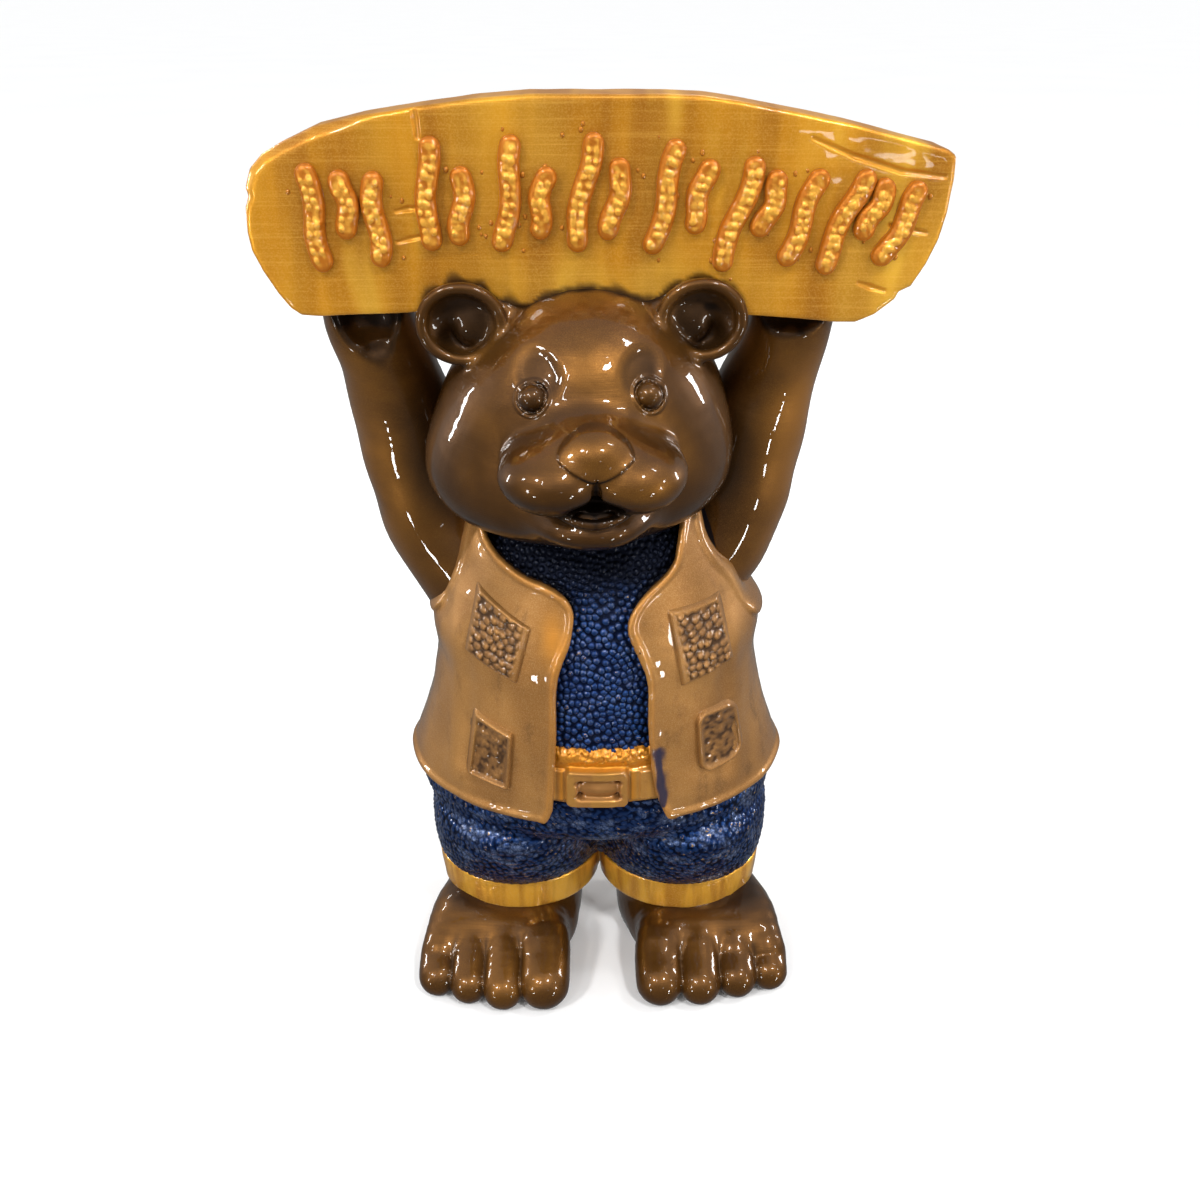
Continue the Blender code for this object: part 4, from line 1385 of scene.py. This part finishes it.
class BEAR_OT_vest(bpy.types.Operator):
    """Cut the open vest with its rolled edges and folds"""

    bl_idname = "bear.vest"
    bl_label = "Vest"

    def execute(self, context):
        mesh = skin(vest_form, *VEST_ROOM, CLOTH_CELL)

        def edges(x, y, z):
            near = (np.abs(outline_gap(x, z, OPENING_LINE)) < EDGE_REACH) & (y < -10)
            hole = np.abs(hole_gap(x, z)) < EDGE_REACH
            return (near | hole | (z < 95.5)) & (stacked(x, y, z, VEST) > -3.2)

        refine(mesh, vest_form, edges, CLOTH_CELL / 2)
        points = points_of(mesh)
        x, y, z = points.T
        side = np.abs(x)
        front = y < 0
        fold = hump(side - 52 + 0.05 * (z - 120), 3.4) * ramp(z, 92, 104) * ramp(z, 170, 150)
        valley = hump(side - 46.5 + 0.04 * (z - 120), 2.6) * ramp(z, 96, 110) * ramp(z, 165, 140)
        back_fold = hump(side - 20, 9) * (y > 0) * ramp(z, 92, 110) * (1 - ramp(z, 150, 190))
        folds = (0.7 * fold - 0.5 * valley) * front + 0.8 * back_fold
        press(mesh, folds + 0.25 * ripple(points, 24, 55))
        coat_waves(mesh, 57)
        opening = np.abs(outline_gap(x, z, OPENING_LINE))
        # A dark seam on the inner face of the opening's edge, and painted shade under the hem.
        inside_edge = (opening < 1.6) & front & (stacked(x, y, z, VEST) < -1.0)
        hem_under = z < VEST[0][0] + 0.4
        smear = hump(x - 23.2 + 0.12 * (z - 112), 2.2) * ramp(z, 95, 100) * ramp(z, 126, 121)
        smear = ramp(smear + 0.25 * ripple(points * (1, 1, 0.3), 3, 8), 0.35, 0.75)
        glow = 0.8 * hump(x + 14.5, 4, z - 165, 9) + 0.3 * hump(opening - 0.6, 0.8)
        marks = {
            "seam": 0.8 * inside_edge + 0.5 * hem_under,
            "glow": glow * front,
            "smear": 0.9 * smear * front * (opening < 7),
        }
        finish_piece(mesh, "bear_vest", paint_bronze("bronze_vest"), marks)
        return {"FINISHED"}


class BEAR_OT_pockets(bpy.types.Operator):
    """Sew the four patch pockets onto the vest"""

    bl_idname = "bear.pockets"
    bl_label = "Pockets"

    def execute(self, context):
        paint = paint_bronze("bronze_pockets")
        for name, relief, number, corners in POCKETS:
            self.sew(name, getattr(self, relief), number, np.array(corners, float), paint)
        return {"FINISHED"}

    def sew(self, name, relief, number, corners, paint):
        """One pocket, a little larger all round than its corners so that its edges sink in."""
        middle = corners.mean(0)
        corners = middle + (corners - middle) * 1.12

        def height(u, v, x, z):
            rise, rough = relief(u, v, x, z, number)
            edge = 0.45 * (1 - ramp(rim_distance(u, v, 19, 27), 0.6, 1.5))
            # Dark round the rim, and more painted shade where the patch's painted shade is deepest.
            return rise, {"rough": rough, "seam": edge + 0.65 * ramp(rough, 0.7, 0.95)}

        mesh, marks = quilted(name, corners, (48, 66), height)
        finish_piece(mesh, name, paint, marks)

    def nuggets(self, u, v, x, z, number):
        """A rough patch of small lumps, with a smooth rim on its inner side."""
        gap = rim_distance(u, v, 19.5, 29)
        inner = (1 - u if number == 0 else u) * 19.5
        plate = 1.9 * ramp(gap, 0.9, 2.2) - 0.8 * (1 - ramp(gap, 0.3, 1.2))
        patch = ramp(gap, 1.6, 2.6) * ramp(inner, 3.2, 4.2) * (1 - ramp(v, 0.86, 0.92))
        places = flat_places(x, z)
        seeds = scatter(places, 2.3, 60 + number)
        first, second, which = nearest_two(places, seeds)
        tall = np.random.default_rng(70 + number).uniform(0.4, 1.3, len(seeds))[which]
        lumps = np.sqrt(np.clip(1 - (first / 1.5) ** 2, 0, 1)) * ramp(second - first, 0, 0.6) * tall
        groove = 0.5 * hump(inner - 3.0, 0.45) * ramp(gap, 1.2, 2.4)
        # The second value is painted shade over the patch, least on the lumps' tops.
        return plate + patch * (1.5 * lumps - 0.9) - groove, 0.95 * patch * (1 - 0.75 * lumps)

    def flapped(self, u, v, x, z, number):
        """A bag with a rolled rim, under a short rough flap."""
        gap = -box_gap(19 * u, 24 * v, 9.5, 12.0, 9.5, 12.0, (2.5, 6.0)[number])
        plate = 1.8 * ramp(gap, 0.8, 2.0) - 0.8 * (1 - ramp(gap, 0.3, 1.1))
        middle = ramp(gap, 2.4, 3.6)
        flap_line = 0.66 + 0.05 * np.cos((u - 0.45) * 5)
        flap = ramp(v, flap_line, flap_line + 0.05) * middle
        places = flat_places(x, z)
        grit = 0.7 * ripple(places, 3.2, 80 + number) + 0.4 * ripple(places, 1.6, 90 + number)
        grit = grit * middle
        rims = 0.7 * hump(gap - 2.3, 0.7) + 0.5 * hump(v - flap_line, 0.035) * middle
        rise = plate + rims - 0.9 * middle + 0.9 * flap + 0.5 * grit * (0.6 + 0.4 * flap)
        # The second value is painted shade in the sunk bag, less on its grit.
        return rise, np.clip(0.68 * middle - 0.4 * grit, 0, 1)


class BEAR_OT_sign(bpy.types.Operator):
    """Hew the plank sign"""

    bl_idname = "bear.sign"
    bl_label = "Sign"

    def execute(self, context):
        mesh = skin(sign_form, *SIGN_ROOM, SIGN_CELL)

        def cuts(x, y, z):
            gaps = [cut_gap(x, 0 * x, z, cut, 0) for cut in PLANK_CUTS]
            return (np.min(gaps, axis=0) < 1.6) & (y < SIGN_FRONT + 3)

        refine(mesh, sign_form, cuts, SIGN_CELL / 2)
        points = points_of(mesh)
        x, y, z = points.T
        wave = 0.14 * ripple(points * (1, 1, 0.35), 20, 91) + 0.03 * ripple(points, 8, 93)
        press(mesh, wave * ramp(np.abs(outline_gap(x, z, SIGN)), 0.5, 5))
        coat_waves(mesh, 95, 0.25)
        front = y < SIGN_FRONT + 2.5
        fur = placed("bear_head", "bear_arm_right", "bear_arm_left")
        fur = fur[(fur[:, 2] > 262) & (np.abs(fur[:, 1] - SIGN_FRONT) < 2.5)]
        reach = 2.4 + 1.5 * ripple(points, 7, 96) + 0.5 * ripple(points, 3.2, 97)
        seam = meeting(points, fur, np.maximum(reach, 0.4)) * front
        groove = 1 - ramp(np.min([cut_gap(x, y, z, *row) for row in SIGN_CUTS], axis=0), -0.4, 0.5)
        # Painted reflection on the front: lighter places, then darker ones, both with slow waves.
        slow = 0.35 * ripple(points * (1, 1, 0.4), 22, 92)
        lit = hump(x - 92, 15) * ramp(318 - z, -4, 14) + light_and_shade_patches(x, z, *SIGN_PAINTED_REFLECTION)
        lit += 0.6 * hump(x + 20 + 0.3 * (z - 320), 13) * ramp(z, 300, 320)
        marks = {
            "seam": 0.95 * seam,
            "glow": 0.9 * groove,
            "lit": (lit + slow) * front,
            "dim": (light_and_shade_patches(x, z, *SIGN_PAINTED_DARK_REFLECTION) + slow) * front,
            "bare": ramp(normals_of(mesh)[:, 2], 0.5, 0.85),
        }
        finish_piece(mesh, "plank_sign", paint_plank("gold_sign"), marks)
        return {"FINISHED"}


def stroke_path(number):
    """The middle line of a stroke on the sign, as (x, z) places."""
    middle_x, middle_z, length, lean = STROKES[number]
    lean = math.radians(lean)
    path = []
    for step in range(9):
        t = step / 8 - 0.5
        along = t * (length - 2 * STROKE_ROUND)
        bend = 0.9 * math.sin(2 * math.pi * t + 1.7 * number)
        x = middle_x + along * math.sin(lean) + bend * math.cos(lean)
        path.append((x, middle_z + along * math.cos(lean) - bend * math.sin(lean)))
    return between(path, 5)


def beads_along(line, chance):
    """Beads that zigzag up a line: x, z, half the width and the height of each."""
    steps = np.linalg.norm(np.diff(line, axis=0), axis=1)
    walked = np.concatenate(([0], np.cumsum(steps)))
    for turn, spot in enumerate(np.arange(1.2, walked[-1] - 0.6, 1.35)):
        across = (1.15 if turn % 2 else -1.15) + chance.uniform(-0.5, 0.5)
        x = np.interp(spot, walked, line[:, 0]) + across
        z = np.interp(spot, walked, line[:, 1]) + 0.45 * across + chance.uniform(-0.4, 0.4)
        yield x, z, chance.uniform(0.8, 1.5), chance.uniform(0.6, 1.5)


def stroke_form(x, y, z, knots, beads):
    """One raised stroke with beads on its top."""
    top = STROKE_BED - size("stroke_height")
    bed = overlap(limb(x, 0 * y, z, knots), top - y, 2.2)
    bed = np.maximum(bed, y - STROKE_BED - 1.0)
    for bead_x, bead_z, wide, tall in beads:
        place = (bead_x, top + 0.7, bead_z)
        bed = melt(bed, dome(x, y, z, place, (wide, tall + 0.4, wide * 1.15)), 0.35)
    return bed


class BEAR_OT_strokes(bpy.types.Operator):
    """Lay the rope-like strokes across the sign"""

    bl_idname = "bear.strokes"
    bl_label = "Strokes"

    def execute(self, context):
        body = bmesh.new()
        tips = []
        for number in range(len(STROKES)):
            mesh, tip = self.lay(number)
            body.from_mesh(mesh)
            tips.append(tip)
        self.drip(body, tips)
        mesh = bpy.data.meshes.new("rope_strokes")
        body.to_mesh(mesh)
        body.free()
        points = points_of(mesh)
        tip = np.concatenate(tips)
        press(mesh, 0.14 * tip * ripple(points, 1.3, 98) + 0.08 * ripple(points, 4, 99))
        # Painted shade along the strokes' feet.
        marks = {"tip": tip, "seam": 0.5 * (1 - ramp(STROKE_BED - points[:, 1], 0.2, 0.9))}
        finish_piece(mesh, "rope_strokes", paint_stroke("orange_strokes"), marks)
        return {"FINISHED"}

    def lay(self, number):
        """One stroke, and how near each of its points is to a bead's top."""
        half, high = size("stroke"), size("stroke_height")
        line = stroke_path(number)
        knots = [(x, 0.0, z, half) for x, z in line[::2]]
        beads = list(beads_along(line, np.random.default_rng(300 + number)))
        (left, down), (right, up) = line.min(0) - 4, line.max(0) + 4
        low = (left, STROKE_BED - high - 2.2, down)
        form = partial(stroke_form, knots=knots, beads=beads)
        mesh = skin(form, low, (right, STROKE_BED + 2.0, up), STROKE_CELL)
        points = points_of(mesh)
        x, y, z = points.T
        rough = 0.5 * ripple(points, 2.4, 400 + number)
        crest = ramp(STROKE_BED - y + 0.5 * rough, high - 0.6, high + 0.7)
        flat = limb(x, 0 * y, z, knots) + half
        return mesh, crest * (1 - ramp(flat, 1.6, 2.8))

    def drip(self, body, tips):
        """Small drops of the strokes' paint around them."""
        drops = np.random.default_rng(310)
        for _ in range(DROPS):
            middle_x, middle_z, length, _ = STROKES[drops.integers(len(STROKES))]
            x = middle_x + drops.uniform(-9, 9)
            z = middle_z + drops.uniform(-0.6, 0.6) * length
            if outline_gap(np.array(x), np.array(z), SIGN) > -4:
                continue
            wide = drops.uniform(0.35, 0.85)
            place = Matrix.Translation((x, SIGN_FRONT + 0.1, z))
            place @= Matrix.Diagonal((wide, 0.9 * wide, 1.3 * wide, 1))
            made = bmesh.ops.create_icosphere(body, subdivisions=2, radius=1.0, matrix=place)
            tips.append(np.full(len(made["verts"]), 0.42))


# ---- stage

# Studio lamps: name, place in metres, width, height and power, and where a lamp looks if it isn't
# the statue's middle.
LAMPS = (
    ("strip_left", (-1.25, 0.4, 0.35), 0.06, 0.4, 3.2),
    ("strip_right", (1.25, 0.4, 0.4), 0.07, 0.4, 4.2),
    ("high_left", (-0.85, 0.75, 0.85), 0.3, 0.04, 3.0),
    ("high_right", (0.7, -0.2, 1.3), 0.05, 0.25, 3.0),
    ("front_left", (-0.5, -1.2, 1.2), 0.04, 0.3, 3.0),
    ("small_left", (-1.0, -0.4, 0.8), 0.06, 0.1, 1.5),
    ("small_right", (1.1, -0.5, 0.55), 0.06, 0.12, 1.5),
    ("low_left", (-0.95, -0.8, 0.14), 0.08, 0.2, 2.4),
    ("low_right", (1.05, -0.7, 0.1), 0.1, 0.2, 2.8),
    ("under_left", (-0.60, -0.72, -0.17), 0.07, 0.06, 1.0),
    ("under_right", (0.64, -0.72, -0.16), 0.06, 0.09, 1.2),
    ("under_small", (0.58, -0.72, -0.30), 0.04, 0.05, 0.7),
    ("level_right", (0.315, -1.09, 0.212), 0.13, 0.022, 0.13, (0.078, -0.04, 0.32)),
    ("small_back", (0.2, 0.9, 1.2), 0.2, 0.05, 2.0),
)
# Suns: name, height and turn to the right in degrees, as seen from the front, angle and power.
SUNS = (("sun_left", 42, -40, 7, 1.3), ("sun_right", 50, 30, 7, 1.3))
CAMERA_PLACE = (0.0008, -0.3929, 0.3637)
CAMERA_TILT = math.radians(62.83)


def stand_for(light, power):
    """A light's object, in the scene."""
    light.energy = power
    stand = bpy.data.objects.new(light.name, light)
    bpy.context.scene.collection.objects.link(stand)
    return stand


def lamp(name, place, wide, high, power, aim=(0.0, 0.0, 0.2)):
    """A flat studio lamp that looks at a place."""
    light = bpy.data.lights.new(name, "AREA")
    light.shape = "RECTANGLE"
    light.size = wide
    light.size_y = high
    stand = stand_for(light, power)
    stand.location = place
    stand.rotation_euler = (Vector(aim) - Vector(place)).to_track_quat("-Z", "Y").to_euler()


def sun(name, height, turn, angle, power):
    """A far, soft lamp."""
    light = bpy.data.lights.new(name, "SUN")
    light.angle = math.radians(angle)
    stand = stand_for(light, power)
    stand.rotation_euler = (math.radians(90 - height), 0.0, math.radians(turn))


class BEAR_OT_stage(bpy.types.Operator):
    """Set the floor, the lamps and the camera"""

    bl_idname = "bear.stage"
    bl_label = "Stage"

    def execute(self, context):
        scene = context.scene
        bench = Bench("studio_floor")
        base = bench.mix(bench.noise(400), scene.bear_colours.floor, (0.9, 0.9, 0.9))
        body = bmesh.new()
        bmesh.ops.create_grid(body, x_segments=8, y_segments=8, size=40.0)
        mesh = bpy.data.meshes.new("floor")
        body.to_mesh(mesh)
        body.free()
        sockets = {"Base Color": base, "Roughness": 0.55, "Specular IOR Level": 0.3}
        mesh.materials.append(bench.surface(sockets))
        floor = bpy.data.objects.new("floor", mesh)
        floor.location.z = -0.2 * MM
        scene.collection.objects.link(floor)
        floor.visible_glossy = False

        sky = Bench("studio", "worlds")
        where = sky.node("ShaderNodeTexCoord", output="Generated")
        rise = sky.node("ShaderNodeSeparateXYZ", {}, {0: where}, output="Z")
        sockets = {"Value": rise, "From Min": -0.2, "From Max": 1.0, "To Min": 0.18, "To Max": 0.8}
        strength = sky.node("ShaderNodeMapRange", {"interpolation_type": "SMOOTHSTEP"}, sockets)
        sockets = {"Color": (0.98, 0.99, 1.0, 1.0), "Strength": strength}
        shine = sky.node("ShaderNodeBackground", {}, sockets)
        sky.node("ShaderNodeOutputWorld", {}, {"Surface": shine})
        scene.world = sky.paint

        for row in SUNS:
            sun(*row)
        for row in LAMPS:
            lamp(*row)

        camera = bpy.data.cameras.new("camera")
        camera.sensor_width = 36.0
        camera.lens = 36.0
        camera.clip_end = 100.0
        stand = bpy.data.objects.new("camera", camera)
        stand.location = CAMERA_PLACE
        stand.rotation_euler = (CAMERA_TILT, 0.0, 0.0)
        scene.collection.objects.link(stand)
        scene.camera = stand
        scene.view_settings.view_transform = "Standard"
        return {"FINISHED"}


# ---- sidebar

OPERATORS = (
    BEAR_OT_head,
    BEAR_OT_arms,
    BEAR_OT_feet,
    BEAR_OT_shirt,
    BEAR_OT_shorts,
    BEAR_OT_cuffs,
    BEAR_OT_belt,
    BEAR_OT_vest,
    BEAR_OT_pockets,
    BEAR_OT_sign,
    BEAR_OT_strokes,
    BEAR_OT_stage,
)


class BEAR_PT_panel(bpy.types.Panel):
    """Lists the pieces, their sizes and their colours"""

    bl_idname = "BEAR_PT_panel"
    bl_label = "Bear With Plank Sign"
    bl_space_type = "VIEW_3D"
    bl_region_type = "UI"
    bl_category = "Bear"

    def draw(self, context):
        layout = self.layout
        for group in (context.scene.bear_sizes, context.scene.bear_colours):
            box = layout.box()
            for key in group.bl_rna.properties.keys():
                if key not in ("rna_type", "name"):
                    box.prop(group, key)
        for operator in OPERATORS:
            layout.operator(operator.bl_idname)


CLASSES = (BearSizes, BearColours, *OPERATORS, BEAR_PT_panel)


def register():
    """Add the settings, operators and panel."""
    for made in CLASSES:
        bpy.utils.register_class(made)
    bpy.types.Scene.bear_sizes = PointerProperty(type=BearSizes)
    bpy.types.Scene.bear_colours = PointerProperty(type=BearColours)


def unregister():
    """Take the settings, operators and panel away again."""
    del bpy.types.Scene.bear_colours
    del bpy.types.Scene.bear_sizes
    for made in reversed(CLASSES):
        bpy.utils.unregister_class(made)


def main():
    """Build every piece and the stage."""
    register()
    for operator in OPERATORS:
        group, name = operator.bl_idname.split(".")
        getattr(getattr(bpy.ops, group), name)()


if __name__ == "__main__":
    main()
